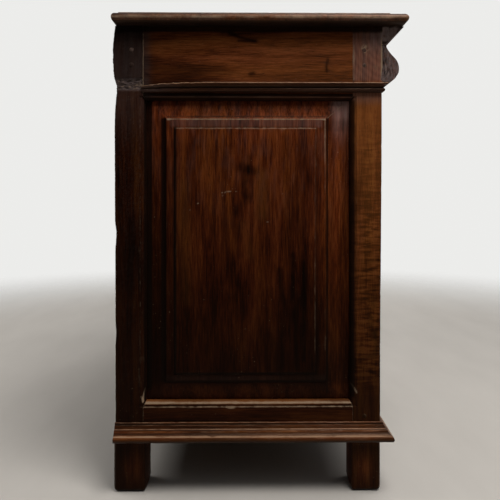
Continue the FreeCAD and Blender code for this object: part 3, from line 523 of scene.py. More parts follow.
def lathe(profile, n, place, phase=0.0, wobble=0.0, seed=0):
    """A turned shape: (radius, height) pairs, closed at both ends."""
    pr = np.asarray(profile, float)
    a = np.linspace(0, 2 * math.pi, n, endpoint=False) + phase
    r = pr[:, 0][:, None] * (1 + wobble * noise1(a * 1.3 + seed, seed)[None, :])
    R = np.stack([r * np.cos(a), r * np.sin(a), pr[:, 1][:, None] + 0 * r], -1)
    V, Q, P = tube(R)
    return place(V[:, 0], V[:, 1], V[:, 2]), Q, P


def curve_points(points, per=5):
    """Points along a smooth line through these."""
    p = np.asarray(points, float)
    p = np.concatenate([p[:1] * 2 - p[1:2], p, p[-1:] * 2 - p[-2:-1]])
    out = []
    for i in range(1, len(p) - 2):
        for t in np.arange(per) / per:
            a, b, c, d = p[i - 1:i + 3]
            out.append(0.5 * (2 * b + (c - a) * t + (2 * a - 5 * b + 4 * c - d) * t * t + (3 * b - a - 3 * c + d) * t ** 3))
    out.append(p[-2])
    return np.array(out)


def xyz(x, y, z):
    x, y, z = np.broadcast_arrays(x, y, z)
    return np.stack([x, y, z], -1).astype(float)


def solids(node):
    """The box of each separate solid of a CAD node, in mm."""
    me = frame["nodes"][node].data
    co = np.zeros(len(me.vertices) * 3)
    me.vertices.foreach_get("co", co)
    key = np.round(co.reshape(-1, 3) * 1e5).astype(np.int64)
    u, inv = np.unique(key, axis=0, return_inverse=True)
    inv = inv.ravel()
    parent = np.arange(len(u))

    def find(i):
        while parent[i] != i:
            parent[i] = parent[parent[i]]
            i = parent[i]
        return i

    for p in me.polygons:
        vs = [inv[v] for v in p.vertices]
        for v in vs[1:]:
            a, b = find(vs[0]), find(v)
            if a != b:
                parent[b] = a
    roots = np.array([find(i) for i in range(len(u))])
    out = [(u[roots == r].min(0) / 100.0, u[roots == r].max(0) / 100.0) for r in np.unique(roots)]
    return sorted(out, key=lambda b: tuple(np.round(b[0], 1)))


# ---------------------------------------------------------------- materials
class Tree:
    def __init__(self, name):
        self.mat = bpy.data.materials.new(name)
        self.mat.use_nodes = True
        self.t = self.mat.node_tree
        self.t.nodes.clear()
        self.out = self.t.nodes.new("ShaderNodeOutputMaterial")
        self.bsdf = self.t.nodes.new("ShaderNodeBsdfPrincipled")
        self.t.links.new(self.bsdf.outputs[0], self.out.inputs[0])

    def put(self, socket, value):
        if hasattr(value, "is_output"):
            self.t.links.new(value, socket)
        elif value is not None:
            socket.default_value = value

    def attr(self, name, vector=False):
        n = self.t.nodes.new("ShaderNodeAttribute")
        n.attribute_name = name
        return n.outputs["Vector" if vector else "Fac"]

    def scaled(self, vec, by, plus=(0, 0, 0)):
        n = self.t.nodes.new("ShaderNodeVectorMath")
        n.operation = "MULTIPLY_ADD"
        self.put(n.inputs[0], vec)
        n.inputs[1].default_value = by
        n.inputs[2].default_value = plus
        return n.outputs[0]

    def noise(self, vec, by, detail=2.0, rough=0.5, distort=0.0, plus=(0, 0, 0)):
        n = self.t.nodes.new("ShaderNodeTexNoise")
        n.inputs["Scale"].default_value = 1.0
        n.inputs["Detail"].default_value = detail
        n.inputs["Roughness"].default_value = rough
        n.inputs["Distortion"].default_value = distort
        self.put(n.inputs["Vector"], self.scaled(vec, by, plus))
        return n.outputs[0]

    def math(self, op, a, b=0.0, c=None, clamp=False):
        n = self.t.nodes.new("ShaderNodeMath")
        n.operation = op
        n.use_clamp = clamp
        self.put(n.inputs[0], a)
        self.put(n.inputs[1], b)
        if c is not None:
            self.put(n.inputs[2], c)
        return n.outputs[0]

    def ramp(self, x, lo, hi, to=(0.0, 1.0)):
        n = self.t.nodes.new("ShaderNodeMapRange")
        n.interpolation_type = "SMOOTHSTEP"
        self.put(n.inputs["Value"], x)
        n.inputs["From Min"].default_value = lo
        n.inputs["From Max"].default_value = hi
        n.inputs["To Min"].default_value = to[0]
        n.inputs["To Max"].default_value = to[1]
        return n.outputs[0]

    def colours(self, x, stops):
        n = self.t.nodes.new("ShaderNodeValToRGB")
        e = n.color_ramp.elements
        while len(e) < len(stops):
            e.new(0.5)
        for el, (at, c) in zip(e, stops):
            el.position = at
            el.color = (*c, 1)
        self.put(n.inputs[0], x)
        return n.outputs[0]

    def mix(self, fac, a, b, kind="MIX"):
        n = self.t.nodes.new("ShaderNodeMix")
        n.data_type = "RGBA"
        n.blend_type = kind
        self.put(n.inputs[0], fac)
        for s, v in ((n.inputs[6], a), (n.inputs[7], b)):
            self.put(s, (*v, 1) if isinstance(v, tuple) else v)
        return n.outputs[2]

    def bump(self, height, strength, distance):
        n = self.t.nodes.new("ShaderNodeBump")
        n.inputs["Strength"].default_value = strength
        n.inputs["Distance"].default_value = distance
        self.put(n.inputs["Height"], height)
        return n.outputs[0]


def wood(name, dark, mid, light, warm=(0.150, 0.052, 0.0125), worn=(0.30, 0.210, 0.138), rings=7.0, ring=0.16, streak=0.36, fibre=0.72, blotch=0.35, veins=0.5,
         pores=0.5, ripple=0.0, rough=(0.36, 0.52), bump=0.35, wear=0.8, dirt=1.0, figure=(1.3, 12, 12), saw=0.0, knots=0.0, hue=0.45, specks=0.2, shine=0.11):
    t = Tree(name)
    g = t.attr("gco", True)
    field = t.noise(g, figure, 2.0, 0.45, 0.2)
    if knots:
        lump = t.noise(g, (5.5, 16, 16), 1.0, 0.4, 0.0, (3.1, 7.7, 1.3))
        lump = t.ramp(lump, 0.66, 0.82)
        field = t.math("MULTIPLY_ADD", lump, 0.55 * knots, field)
    bands = t.math("SINE", t.math("MULTIPLY", field, 6.2832 * rings))
    bands = t.math("MULTIPLY_ADD", bands, 0.5, 0.5)
    broad = t.noise(g, (2.2, 42, 42), 2.0, 0.5, 0.1, (0.4, 6.3, 2.7))
    narrow = t.noise(g, (12.0, 200, 200), 2.0, 0.55, 0.0, (7.4, 1.9, 8.8))
    fib = t.noise(g, (30, 430, 430), 3.0, 0.62)
    fine = t.noise(g, (45, 1500, 1500), 2.0, 0.6, 0.0, (1.7, 3.1, 9.2))
    blo = t.noise(g, (4.0, 9, 9), 2.0, 0.55, 0.3, (9.1, 2.2, 5.5))
    f = t.math("MULTIPLY_ADD", bands, ring, 0.5 - 0.5 * ring)
    for n, k in ((broad, streak), (narrow, 1.25 * streak), (fib, fibre), (blo, 1.6 * blotch), (fine, 0.20)):
        f = t.math("MULTIPLY_ADD", n, k, t.math("ADD", f, -0.5 * k))
    if ripple:
        rp = t.noise(g, (170, 30, 30), 2.0, 0.55, 0.4, (0.3, 4.4, 2.9))
        rp = t.math("MULTIPLY", t.math("ADD", rp, -0.5), t.attr("ripple"))
        f = t.math("MULTIPLY_ADD", rp, ripple, f)
    f = t.math("ADD", f, 0.0, clamp=True)
    col = t.colours(f, [(0.26, dark), (0.50, mid), (0.76, light)])
    # streaks of a more golden tint
    hu = t.noise(g, (2.4, 30, 30), 2.0, 0.55, 0.15, (5.7, 0.9, 3.4))
    col = t.mix(t.ramp(hu, 0.40, 0.66, (0.0, hue)), col, (1.08, 1.34, 0.70), "MULTIPLY")
    col = t.mix(t.attr("warm"), col, warm, "MIX")
    # dark veins that follow the grain
    vn = t.noise(g, (1.25, 23, 23), 2.0, 0.5, 0.25, (2.9, 5.1, 0.6))
    ridge = t.math("SUBTRACT", 1.0, t.math("ABSOLUTE", t.math("MULTIPLY_ADD", vn, 2.0, -1.0)))
    vein = t.math("MULTIPLY", t.ramp(ridge, 0.86, 0.995), t.ramp(t.noise(g, (5, 14, 14), 1.0, 0.5, 0.0, (8.1, 3.7, 4.2)), 0.42, 0.62))
    col = t.mix(t.math("MULTIPLY", vein, veins), col, tuple(0.42 * c for c in dark))
    # open pores, short dark dashes along the grain
    po = t.noise(g, (85, 1900, 1900), 1.0, 0.5, 0.0, (2.2, 8.8, 6.1))
    pore = t.ramp(po, 0.60, 0.72)
    col = t.mix(t.math("MULTIPLY", pore, pores), col, tuple(0.35 * c for c in dark))
    # old bloom and handled, dried-out places, and on some pieces a painted sheen
    gr = t.math("MULTIPLY", t.attr("grey"), t.math("MULTIPLY_ADD", narrow, 1.5, t.math("MULTIPLY_ADD", fib, 1.2, -0.45)), clamp=True)
    col = t.mix(gr, col, (0.112, 0.084, 0.080))
    # tone: the wood's own lighter and darker places, and on many pieces painted light and shade
    shade = t.t.nodes.new("ShaderNodeVectorMath")
    shade.operation = "SCALE"
    t.put(shade.inputs[0], col)
    t.put(shade.inputs[3], t.attr("tone"))
    col = shade.outputs[0]
    # rubbed edges, and through the pale attribute worn places and painted highlights, broken up by noise
    nz = t.noise(g, (70, 160, 160), 3.0, 0.65, 0.0, (4.4, 1.1, 0.7))
    lng = t.noise(g, (14, 50, 50), 2.0, 0.55, 0.0, (0.4, 5.5, 1.7))
    a = t.attr("wear")
    wf = t.ramp(t.math("ADD", t.math("MULTIPLY", a, 0.62), t.math("MULTIPLY_ADD", nz, 0.45, t.math("MULTIPLY", lng, 0.55))), 0.66, 1.12, (0.0, 0.8 * wear))
    pale = t.attr("pale")
    pf = t.ramp(t.math("ADD", t.math("MULTIPLY", pale, 0.9), t.math("MULTIPLY", nz, 0.45)), 0.42, 0.95, (0.0, 0.9))
    rub_and_highlight = t.math("MAXIMUM", wf, pf)
    if specks:
        sp = t.ramp(t.noise(g, (260, 340, 340), 1.0, 0.5, 0.0, (1.2, 7.1, 3.3)), 0.70, 0.84, (0.0, specks))
        sp = t.math("MULTIPLY", sp, t.ramp(t.noise(g, (8, 13, 13), 1.0, 0.5, 0.0, (6.3, 2.8, 9.9)), 0.42, 0.66))
        rub_and_highlight = t.math("MAXIMUM", rub_and_highlight, sp)
    col = t.mix(rub_and_highlight, col, worn)
    # dirt and old wax in the corners, and painted shade in hollows, creases and under overhangs
    dn = t.noise(g, (30, 60, 60), 3.0, 0.6, 0.0, (6.0, 0.2, 3.3))
    d = t.attr("dirt")
    df = t.ramp(t.math("ADD", d, t.math("MULTIPLY", dn, 0.5)), 0.38, 1.05, (0.0, 0.9 * dirt))
    col = t.mix(df, col, (0.0030, 0.0018, 0.0013))
    t.put(t.bsdf.inputs["Base Color"], col)
    ro = t.math("MULTIPLY_ADD", fib, rough[1] - rough[0], rough[0])
    ro = t.math("MULTIPLY_ADD", rub_and_highlight, 0.16, ro)
    ro = t.math("MULTIPLY_ADD", df, 0.20, ro, clamp=True)
    t.put(t.bsdf.inputs["Roughness"], ro)
    h = t.math("MULTIPLY_ADD", fib, 0.5, t.math("MULTIPLY", fine, 0.25))
    h = t.math("MULTIPLY_ADD", pore, -0.6, h)
    h = t.math("MULTIPLY_ADD", nz, t.math("MULTIPLY", rub_and_highlight, 1.2), h)
    if saw:
        kerf = t.noise(g, (620, 6, 6), 1.0, 0.4, 0.0, (0.9, 1.4, 2.6))
        h = t.math("MULTIPLY_ADD", kerf, saw, h)
    t.put(t.bsdf.inputs["Normal"], t.bump(h, bump, 0.0006))
    t.bsdf.inputs["Specular IOR Level"].default_value = 0.9 * shine
    t.bsdf.inputs["Specular Tint"].default_value = (1.0, 0.60, 0.40, 1)
    return t.mat


def metal(name, base, tarnish, bright, rough=(0.35, 0.6), metallic=1.0, patches=0.5):
    t = Tree(name)
    g = t.attr("gco", True)
    big = t.noise(g, (90, 90, 90), 4.0, 0.6)
    small = t.noise(g, (700, 700, 700), 3.0, 0.6, 0.0, (3, 1, 2))
    f = t.ramp(t.math("MULTIPLY_ADD", small, 0.35, t.math("MULTIPLY", big, 0.75)), patches - 0.14, patches + 0.18)
    col = t.mix(f, base, tarnish)
    w = t.ramp(t.math("ADD", t.math("MULTIPLY", t.attr("wear"), 0.8), t.math("MULTIPLY", small, 0.5)), 0.55, 1.1)
    col = t.mix(w, col, bright)
    # dark in the hollows: dirt, and painted shade in the creases
    d = t.ramp(t.math("ADD", t.attr("dirt"), t.math("MULTIPLY", big, 0.4)), 0.35, 1.0, (0.0, 0.85))
    col = t.mix(d, col, (0.010, 0.008, 0.006))
    t.put(t.bsdf.inputs["Base Color"], col)
    t.put(t.bsdf.inputs["Roughness"], t.math("MULTIPLY_ADD", f, rough[1] - rough[0], rough[0]))
    t.bsdf.inputs["Metallic"].default_value = metallic
    t.put(t.bsdf.inputs["Normal"], t.bump(t.math("MULTIPLY_ADD", small, 0.5, big), 0.25, 0.0005))
    return t.mat


LOOK = {
    "carcase_wood": wood("carcase_wood", (0.014, 0.0028, 0.0009), (0.060, 0.0122, 0.0032), (0.130, 0.0350, 0.0085)),
    "post_wood": wood("post_wood", (0.024, 0.0048, 0.0014), (0.104, 0.0236, 0.0064), (0.205, 0.0610, 0.0165), ripple=2.0, streak=0.30),
    "frieze_wood": wood("frieze_wood", (0.032, 0.0070, 0.0022), (0.132, 0.0315, 0.0092), (0.235, 0.0690, 0.0205), knots=0.5, figure=(1.4, 15, 15), streak=0.26, fibre=0.9, pores=0.7, hue=0.28),
    "panel_wood": wood("panel_wood", (0.018, 0.0032, 0.0010), (0.078, 0.0145, 0.0036), (0.160, 0.0375, 0.0094), veins=0.30, specks=0.55, streak=0.26, fibre=0.92, pores=0.7, hue=0.36, blotch=0.32),
    "moulding_wood": wood("moulding_wood", (0.016, 0.0034, 0.0009), (0.070, 0.0150, 0.0038), (0.145, 0.0400, 0.0100), worn=(0.30, 0.178, 0.106), wear=1.0, rough=(0.26, 0.42), shine=0.34),
    "top_wood": wood("top_wood", (0.018, 0.0050, 0.0016), (0.066, 0.0185, 0.0058), (0.130, 0.0430, 0.0130), knots=0.6, figure=(1.2, 10, 10), rough=(0.32, 0.48), shine=0.35, blotch=0.20, streak=0.34, fibre=0.65),
    "door_wood": wood("door_wood", (0.018, 0.0044, 0.0012), (0.074, 0.0185, 0.0046), (0.145, 0.0450, 0.0105)),
    "knob_wood": wood("knob_wood", (0.018, 0.0045, 0.0014), (0.062, 0.0160, 0.0046), (0.120, 0.0350, 0.0095), rough=(0.22, 0.32), shine=0.8),
    "peg_wood": wood("peg_wood", (0.014, 0.0050, 0.0022), (0.034, 0.0130, 0.0058), (0.070, 0.0300, 0.0130), figure=(20, 60, 60)),
    "back_wood": wood("back_wood", (0.050, 0.0260, 0.0130), (0.125, 0.0700, 0.0370), (0.215, 0.1320, 0.0740), worn=(0.30, 0.21, 0.14), ring=0.17, rings=7.0, veins=0.15, streak=0.30, blotch=0.45, hue=0.2, figure=(0.8, 15, 15),
                      rough=(0.72, 0.88), bump=0.7, saw=0.9, knots=0.45, pores=0.3, shine=0.25),
    "inner_wood": wood("inner_wood", (0.095, 0.0480, 0.0220), (0.200, 0.1080, 0.0520), (0.300, 0.1800, 0.0950), worn=(0.36, 0.25, 0.16), ring=0.16, rings=7.0, veins=0.2, streak=0.28, hue=0.2, figure=(0.9, 14, 14),
                       rough=(0.58, 0.74), bump=0.5, pores=0.75, saw=0.15, shine=0.3),
    "iron": metal("iron", (0.060, 0.054, 0.049), (0.050, 0.026, 0.016), (0.22, 0.20, 0.18), (0.38, 0.68), 0.85, 0.55),
    "brass": metal("brass", (0.42, 0.27, 0.085), (0.16, 0.095, 0.035), (0.62, 0.44, 0.17), (0.30, 0.52), 1.0, 0.52),
}


# ---------------------------------------------------------------- where things are, in mm
XE, ZT = 650.0, 873.0
YF, YB = -218.0, 280.0
S_Y0, S_Y1, S_Z0, S_Z1 = -161.0, 223.0, 169.0, 735.0
FINE = 2.2


def ovolo(t, deep=12.0, quirk=1.0):
    t = np.asarray(t, float)
    q = np.clip(t, 0, 1)
    return np.where(t <= 0.004, 0.0, deep - (deep - quirk) * np.sqrt(np.maximum(0, 1 - q * q)))


def end_depth(y, z):
    """Depth of the moulding round the end opening at that place on the end's face."""
    side = np.maximum(YF + 46 - 0.0 - y, y - (YB - 46))          # above 0 on the posts' flats
    post = ovolo(-side / 11.0)
    rail = np.where(z > 450, ovolo((742 - z) / 7.0), ovolo((z - 159) / 10.0))
    return np.minimum(post, rail)


def post_width(z):
    """52 mm at the rails, 57 mm along the opening, mitred between."""
    up = np.clip((742 - z) / 7.0, 0, 1)
    low = np.clip((z - 159) / 10.0, 0, 1)
    return 52 + 5 * np.minimum(up, low)


def foot_ease(z):
    e = 8.0 - np.sqrt(np.maximum(0, 64 - np.clip(8.0 - z, 0, 8) ** 2))
    return e


def photo_yz(x, y):
    """The end face's Y and Z for a place in the picture, in its pixels."""
    return 33.9 - (x - 246.6) * 1.874, 552.9 + (196.8 - y) * 1.874


def picture(V):
    """The place in the picture, in its pixels, of points near the end's face."""
    return 246.6 - (V[:, 1] - 33.9) / 1.874, 196.8 - (V[:, 2] - 552.9) / 1.874


def stroke(x, y, points, width):
    """1 on a line through these places in the picture, fading to 0 over the width."""
    p = np.asarray(points, float)
    best = np.full(len(x), 1e9)
    for a, b in zip(p[:-1], p[1:]):
        d = b - a
        t = np.clip(((x - a[0]) * d[0] + (y - a[1]) * d[1]) / (d @ d), 0, 1)
        best = np.minimum(best, np.hypot(x - a[0] - t * d[0], y - a[1] - t * d[1]))
    return np.exp(-(best / width) ** 2)


def spot(x, y, cx, cy, rx, ry):
    return np.exp(-((x - cx) / rx) ** 2 - ((y - cy) / ry) ** 2)


def low_shade_and_grime(V, N, i):
    """Darker towards the floor: painted shade where the light falls off downwards, and dirt and old wax gathered low.
    """
    return {"tone": 0.62 + 0.38 * smooth(60, 600, V[:, 2])}


# ---------------------------------------------------------------- posts
POST_Z = stations(8, ZT, 3.0, (158.2, 159.0, 160.0, 162, 164.5, 167, 168.5, 169.2, 734.8, 735.4, 736.6, 738.2, 740, 741.4, 742.0, 742.8))
POST_Z = np.unique(np.concatenate([[0, 0.35, 1.1, 2.3, 3.9, 5.8], POST_Z[(POST_Z < 744) | (POST_Z > 780)], np.arange(744.5, 780, 1.25)]))


def post(front, left):
    def place(a, d, s):
        return xyz(-XE + d, YF + a if front else YB - a, s)

    def depth(a, s):
        y = YF + a if front else YB - a
        return end_depth(y, s)

    part = member(57, 65, POST_Z, place, r=(2.2, 1, 1.0, 1.6), step=FINE, back=9, side=4.5, mould=46, depth=depth, width=post_width, foot=foot_ease)
    return part if left else mirrored(part)


def front_post_paint(V, N, i):
    x, y = picture(V)
    # tone by height, lightest near the top: painted light falling off downwards, over the wood's own tone; the strokes
    # below are dark figure
    tone = np.interp(y, [0, 30, 78, 95, 180, 300, 400, 440, 500], [0.9, 1.64, 1.90, 1.50, 1.22, 0.66, 0.17, 0.20, 0.36])
    warm = np.interp(y, [80, 105, 190, 320, 400], [0.08, 0.52, 0.42, 0.18, 0.0])
    block = smooth(84, 78, y) * smooth(26, 32, y)
    r = np.hypot(x - 394, (y - 34) * 0.85)
    tone = tone * (1 - 0.22 * block * (0.5 + 0.5 * np.sin(1.15 * r + 2.2 * fbm(V / 30.0, 5, 2))))
    tone = tone * (1 + smooth(444, 448, y) * (1.9 * spot(x, y, 365, 465, 8, 14) - 0.55))
    worked = fbm(V / np.array([9.0, 9.0, 5.0]), 93, 3)
    for points, w, k in (([(366, 262), (379, 260)], 2.0, 0.55), ([(364, 271), (377, 269)], 1.6, 0.30), ([(362, 281), (378, 279)], 1.8, 0.28), ([(374, 290), (373, 306)], 4.0, 0.40),
                         ([(370, 317), (375, 338)], 3.2, 0.55), ([(377, 330), (378, 350)], 3.0, 0.45), ([(360, 358), (379, 355)], 2.6, 0.45), ([(364, 300), (379, 297)], 1.8, 0.30)):
        tone = tone * (1 - k * np.clip(stroke(x, y, points, w) * (1 + 1.2 * worked), 0, 1))
    rough = fbm(V / 3.2, 69, 2)
    # pale: a dusty rough patch on the block, a painted highlight along the block's front arris, a faint line at the
    # joint with the frieze, and chips below
    pale = np.clip(0.30 + 1.5 * rough, 0, 0.8) * spot(x, y, 365, 49.5, 4.2, 6.0) * block + 1.0 * block * smooth(379.2, 380.0, x) + 0.35 * block * np.exp(-((x - 354) / 0.8) ** 2)
    pale = pale + 0.8 * stroke(x, y, [(351, 384), (354, 388), (357, 393)], 1.1) + 0.6 * stroke(x, y, [(348, 388), (349, 400)], 1.0)
    out = N[:, 0] < -0.2
    n = fbm(V / np.array([6.0, 6.0, 14.0]), 70, 3)
    pale = pale + block * np.clip(0.16 + 0.35 * n, 0, 0.5) * smooth(36, 44, y)
    # grey on the block: dried bloom, and in part a painted sheen
    grey = block * (0.35 + 0.5 * smooth(360, 380, x) * smooth(60, 34, y)) + 0.35 * smooth(84, 90, y) * smooth(108, 96, y)
    # dirt here: painted shadow under the top, and painted shade in the inner ovolo, which faces away from the light
    dirt = 0.9 * smooth(36, 29, y) + 0.75 * smooth(356.6, 354.0, x) * smooth(94, 102, y) * smooth(402, 396, y)
    return {"tone": np.where(out, tone, 0.7), "warm": warm * out, "pale": np.clip(pale, 0, 1) * out, "ripple": (0.45 * smooth(100, 150, y) + 0.55 * smooth(180, 225, y)) * smooth(402, 372, y) * (0.55 + 0.45 * smooth(358, 368, x)) * out,
            "dirt": dirt * (N[:, 0] < 0.5), "grey": grey * out}


WORN = ([26, 35, 45, 60, 70, 78, 85, 92, 100, 108, 118, 130, 200, 222, 231, 236, 248, 320, 333, 345], [0.0, -1.2, -2.1, -2.3, -2.0, -1.0, 1.2, 1.4, 0.6, 0.0, -0.5, -0.7, -0.5, -0.3, 1.0, 1.0, 0.0, 0.1, 0.8, 0.1])


def scar(x, y):
    """The rough place on the back post where the waist moulding has broken away."""
    return smooth(114, 118, x) * smooth(144.5, 142.5, x) * smooth(77, 81, y) * smooth(92, 88.5, y)


def back_post_paint(V, N, i):
    x, y = picture(V)
    # tone by height, and far below the front post's: painted shade away from the light and downwards, with a darker,
    # drier wood
    tone = np.interp(y, [0, 30, 80, 100, 200, 300, 420, 450, 500], [0.24, 0.25, 0.30, 0.40, 0.36, 0.21, 0.125, 0.22, 0.21])
    n = fbm(V / 3.0, 71, 3)
    m = scar(x, y)
    f = fbm(V / np.array([3.0, 7.0, 1.8]), 68, 2)
    pale = m * np.clip(0.20 + 0.75 * f, 0, 0.6)
    grey = 0.60 * smooth(86, 78, y) + 1.0 * m + 0.30 * smooth(160, 96, y) * smooth(78, 86, y) + 0.30 * np.clip(0.1 + n, 0, 1) * smooth(420, 380, y)
    # a thin pale line at the rail's shoulder: a painted highlight on the joint's arris
    pale = pale + 0.35 * smooth(30, 34, y) * smooth(84, 80, y) * np.exp(-((x - 142.8) / 0.5) ** 2) * np.clip(0.85 + 0.6 * n, 0, 1)
    pale = pale + 0.85 * stroke(x, y, [(145, 389), (143.6, 395), (143, 402)], 0.8) + 0.6 * stroke(x, y, [(141, 396), (143, 402)], 0.8) + 0.3 * spot(x, y, 129, 397, 1.0, 1.0)
    # a thin pale line along the ovolo's arris: a painted highlight
    pale = pale + 0.34 * np.exp(-((x - 140.3) / 1.0) ** 2) * smooth(98, 106, y) * smooth(398, 380, y) * np.clip(0.85 + 0.4 * n, 0, 1)
    out = N[:, 0] < -0.2
    # dirt here: painted shadow under the top, and painted shade towards the outer edge and in the ovolo
    dirt = 0.95 * smooth(36, 29, y) + 0.18 * smooth(126, 116, x) + 0.7 * smooth(142.6, 144.6, x) * smooth(95, 100, y) * smooth(402, 398, y)
    tone = tone * (1 + 1.0 * m) * (1 + smooth(444, 448, y) * (1.9 * spot(x, y, 132, 465, 9, 14) - 0.62))
    return {"tone": np.where(out, tone, 0.6), "pale": np.clip(pale, 0, 1) * out, "dirt": dirt * (N[:, 0] < 0.5), "grey": grey * out}


def foot_carve(V, W, N, i):
    """The block feet: a little wider than the posts and rounded along their edges."""
    W = W.copy()
    k = smooth(106, 99, V[:, 2])
    y = W[:, 1]
    y = y + k * np.where(V[:, 1] < 0, 4.2 * (V[:, 1] + 218) / 52 - 0.6, 9.6 * (V[:, 1] - 228) / 52 - 6.2)
    y0, y1 = np.where(V[:, 1] < 0, -218.6, 221.8), np.where(V[:, 1] < 0, -162.4, 283.4)
    x = np.abs(W[:, 0])
    R = 6.5
    cy, cx = np.clip(y, y0 + R, y1 - R), np.clip(x, 585 + R, 650 - R)
    dy, dx = y - cy, x - cx
    f = np.maximum(np.abs(dy), np.abs(dx)) / np.maximum(np.hypot(dy, dx), 1e-6)
    f = np.where((np.abs(dy) > 1e-6) & (np.abs(dx) > 1e-6), f, 1.0)
    W[:, 1] = y + k * (cy + dy * f - y)
    W[:, 0] = np.sign(V[:, 0]) * (x + k * (cx + dx * f - x))
    return W


def back_post_carve(V, W, N, i):
    x, y = picture(V)
    W = foot_carve(V, W, N, i)
    m = scar(x, y)
    n = fbm(V / np.array([4.0, 4.0, 2.0]), 72, 3)
    W[:, 0] += m * (1.6 + 2.6 * n) * (V[:, 0] < -630)
    e = np.interp(y, *WORN) * 1.874 * smooth(255, 280, V[:, 1]) * smooth(-588, -625, V[:, 0])
    W[:, 1] -= e * (1 + 0.3 * n)
    W[:, 0] += 0.45 * np.maximum(e, 0) * smooth(-640, -650, V[:, 0])
    return W


def front_post_carve(V, W, N, i):
    W = foot_carve(V, W, N, i)
    lean = 2.6 * smooth(200, 700, V[:, 2]) + 2.0 * smooth(764, 768, V[:, 2])
    W[:, 1] -= lean * smooth(-204, -218, V[:, 1]) * smooth(-590, -612, V[:, 0])
    return W


for front in (True, False):
    for left in (True, False):
        node = "%s_%s_post" % ("front" if front else "back", "left" if left else "right")
        paint = low_shade_and_grime if not left else front_post_paint if front else back_post_paint
        piece(node + "_look", [post(front, left)], node, LOOK["post_wood" if front else "carcase_wood"], grain="z", und=0.45, wl=70, chip=0.9, wear=0.6, paint=paint,
              carve=foot_carve if not left else front_post_carve if front else back_post_carve)


# ---------------------------------------------------------------- end rails
def end_rail(upper, left):
    z_at = (lambda a: ZT - a) if upper else (lambda a: 100 + a)

    def place(a, d, s):
        return xyz(-XE + d + 0.25, s, z_at(a))

    def depth(a, s):
        return end_depth(s, z_at(a))

    def ends(a):
        z = z_at(a)
        w = post_width(z)
        return YF + w + 0.12, YB - w - 0.12

    W = 138 if upper else 69
    t = np.concatenate([[0, 0.003, 0.008, 0.014, 0.02, 0.026], np.linspace(0.033, 0.967, 132), 1 - np.array([0.026, 0.02, 0.014, 0.008, 0.003, 0])])
    part = member(W, 29.7, t, place, r=(1.0, 1, 1, 1), step=FINE, back=20, side=8, mould=W - (7 if upper else 10), depth=depth, ends=ends)
    return part if left else mirrored(part)


def upper_rail_paint(V, N, i):
    x, y = picture(V)
    n = fbm(V / 4.0, 73, 3)
    # tone: darker towards the back post, as painted shade falling off away from the light, deepest at the joint; the
    # strokes below are knots and figure
    tone = (0.66 + 0.34 * smooth(150, 245, x)) * (1 - 0.45 * np.exp(-((x - 143.5) / 7.0) ** 2))
    for points, w, k in (([(230, 33), (240, 37.5), (256, 41)], 2.3, 0.85), ([(238, 40.8), (255, 41.2)], 1.2, 0.90), ([(222, 32.5), (250, 34)], 1.8, 0.50),
                         ([(250.5, 74), (253.5, 73)], 2.2, 0.80), ([(327, 71), (326.5, 66), (328, 59)], 1.6, 0.80), ([(300, 52), (318, 56), (334, 55)], 1.2, 0.20),
                         ([(180, 66), (215, 68), (240, 73)], 1.5, 0.22), ([(270, 48), (300, 46)], 1.4, 0.18), ([(145, 73), (149, 75)], 1.3, 0.5)):
        tone = tone * (1 - k * stroke(x, y, points, w))
    # a thin pale line at the end against the post: a painted highlight on the joint's arris
    pale = 1.0 * np.exp(-((x - 143.05) / 0.75) ** 2) * smooth(31, 35, y) * np.clip(0.85 + 0.6 * n, 0, 1)
    out = N[:, 0] < -0.2
    # dirt here: painted shadow under the top, and painted shade on the downward-facing ovolo, with a thin grey line
    # left along it
    return {"tone": np.where(out, tone, 0.8), "warm": 0.22 * smooth(190, 300, x) * out, "pale": pale * out, "grey": 0.5 * np.exp(-((y - 96.7) / 0.9) ** 2) + 0.5 * np.exp(-((x - 145) / 5) ** 2) * out,
            "dirt": (1.0 * smooth(33.5, 29.0, y) + 0.25 * smooth(42, 32, y)) * out + 0.95 * smooth(92.5, 94.0, y) * (1 - 0.72 * np.exp(-((y - 96.7) / 0.9) ** 2))}


def lower_rail_paint(V, N, i):
    x, y = picture(V)
    n = fbm(V / 5.0, 74, 3)
    run = noise1(V[:, 1] / 70.0, 93, 2)
    # the upward-facing ovolo is painted lighter, warmer and paler with a bright line and a dark line: painted light and
    # shade, with some wear; the face below stays dark as painted shade
    gold = smooth(162.4, 164.4, V[:, 2])
    pale = (0.40 * gold + 0.55 * np.exp(-((V[:, 2] - 165.4) / 1.3) ** 2) - 0.15 * smooth(167.5, 168.8, V[:, 2])) * np.clip(0.88 + 0.3 * n + 0.25 * run, 0, 1) + 0.70 * np.exp(-((y - 406.9) / 0.75) ** 2) * np.clip(0.85 + 0.5 * n, 0, 1)
    pale = pale + 0.8 * spot(x, y, 231, 408, 4.5, 1.2)
    out = N[:, 0] < 0.5
    return {"tone": np.where(out, 0.42 + 0.75 * gold * (1 + 0.3 * run), 0.7), "warm": 0.6 * gold * out, "pale": np.clip(pale, 0, 1) * out, "dirt": 0.5 * np.exp(-((y - 404.8) / 0.6) ** 2) * out}


for upper in (True, False):
    for left in (True, False):
        node = "%s_%s_rail" % ("left" if left else "right", "upper" if upper else "lower")
        look = LOOK[SLOT[node]]
        piece(node + "_look", [end_rail(upper, left)], node, look, grain="y", und=0.4, wl=80, chip=0.7,
              paint=low_shade_and_grime if not left else upper_rail_paint if upper else lower_rail_paint)


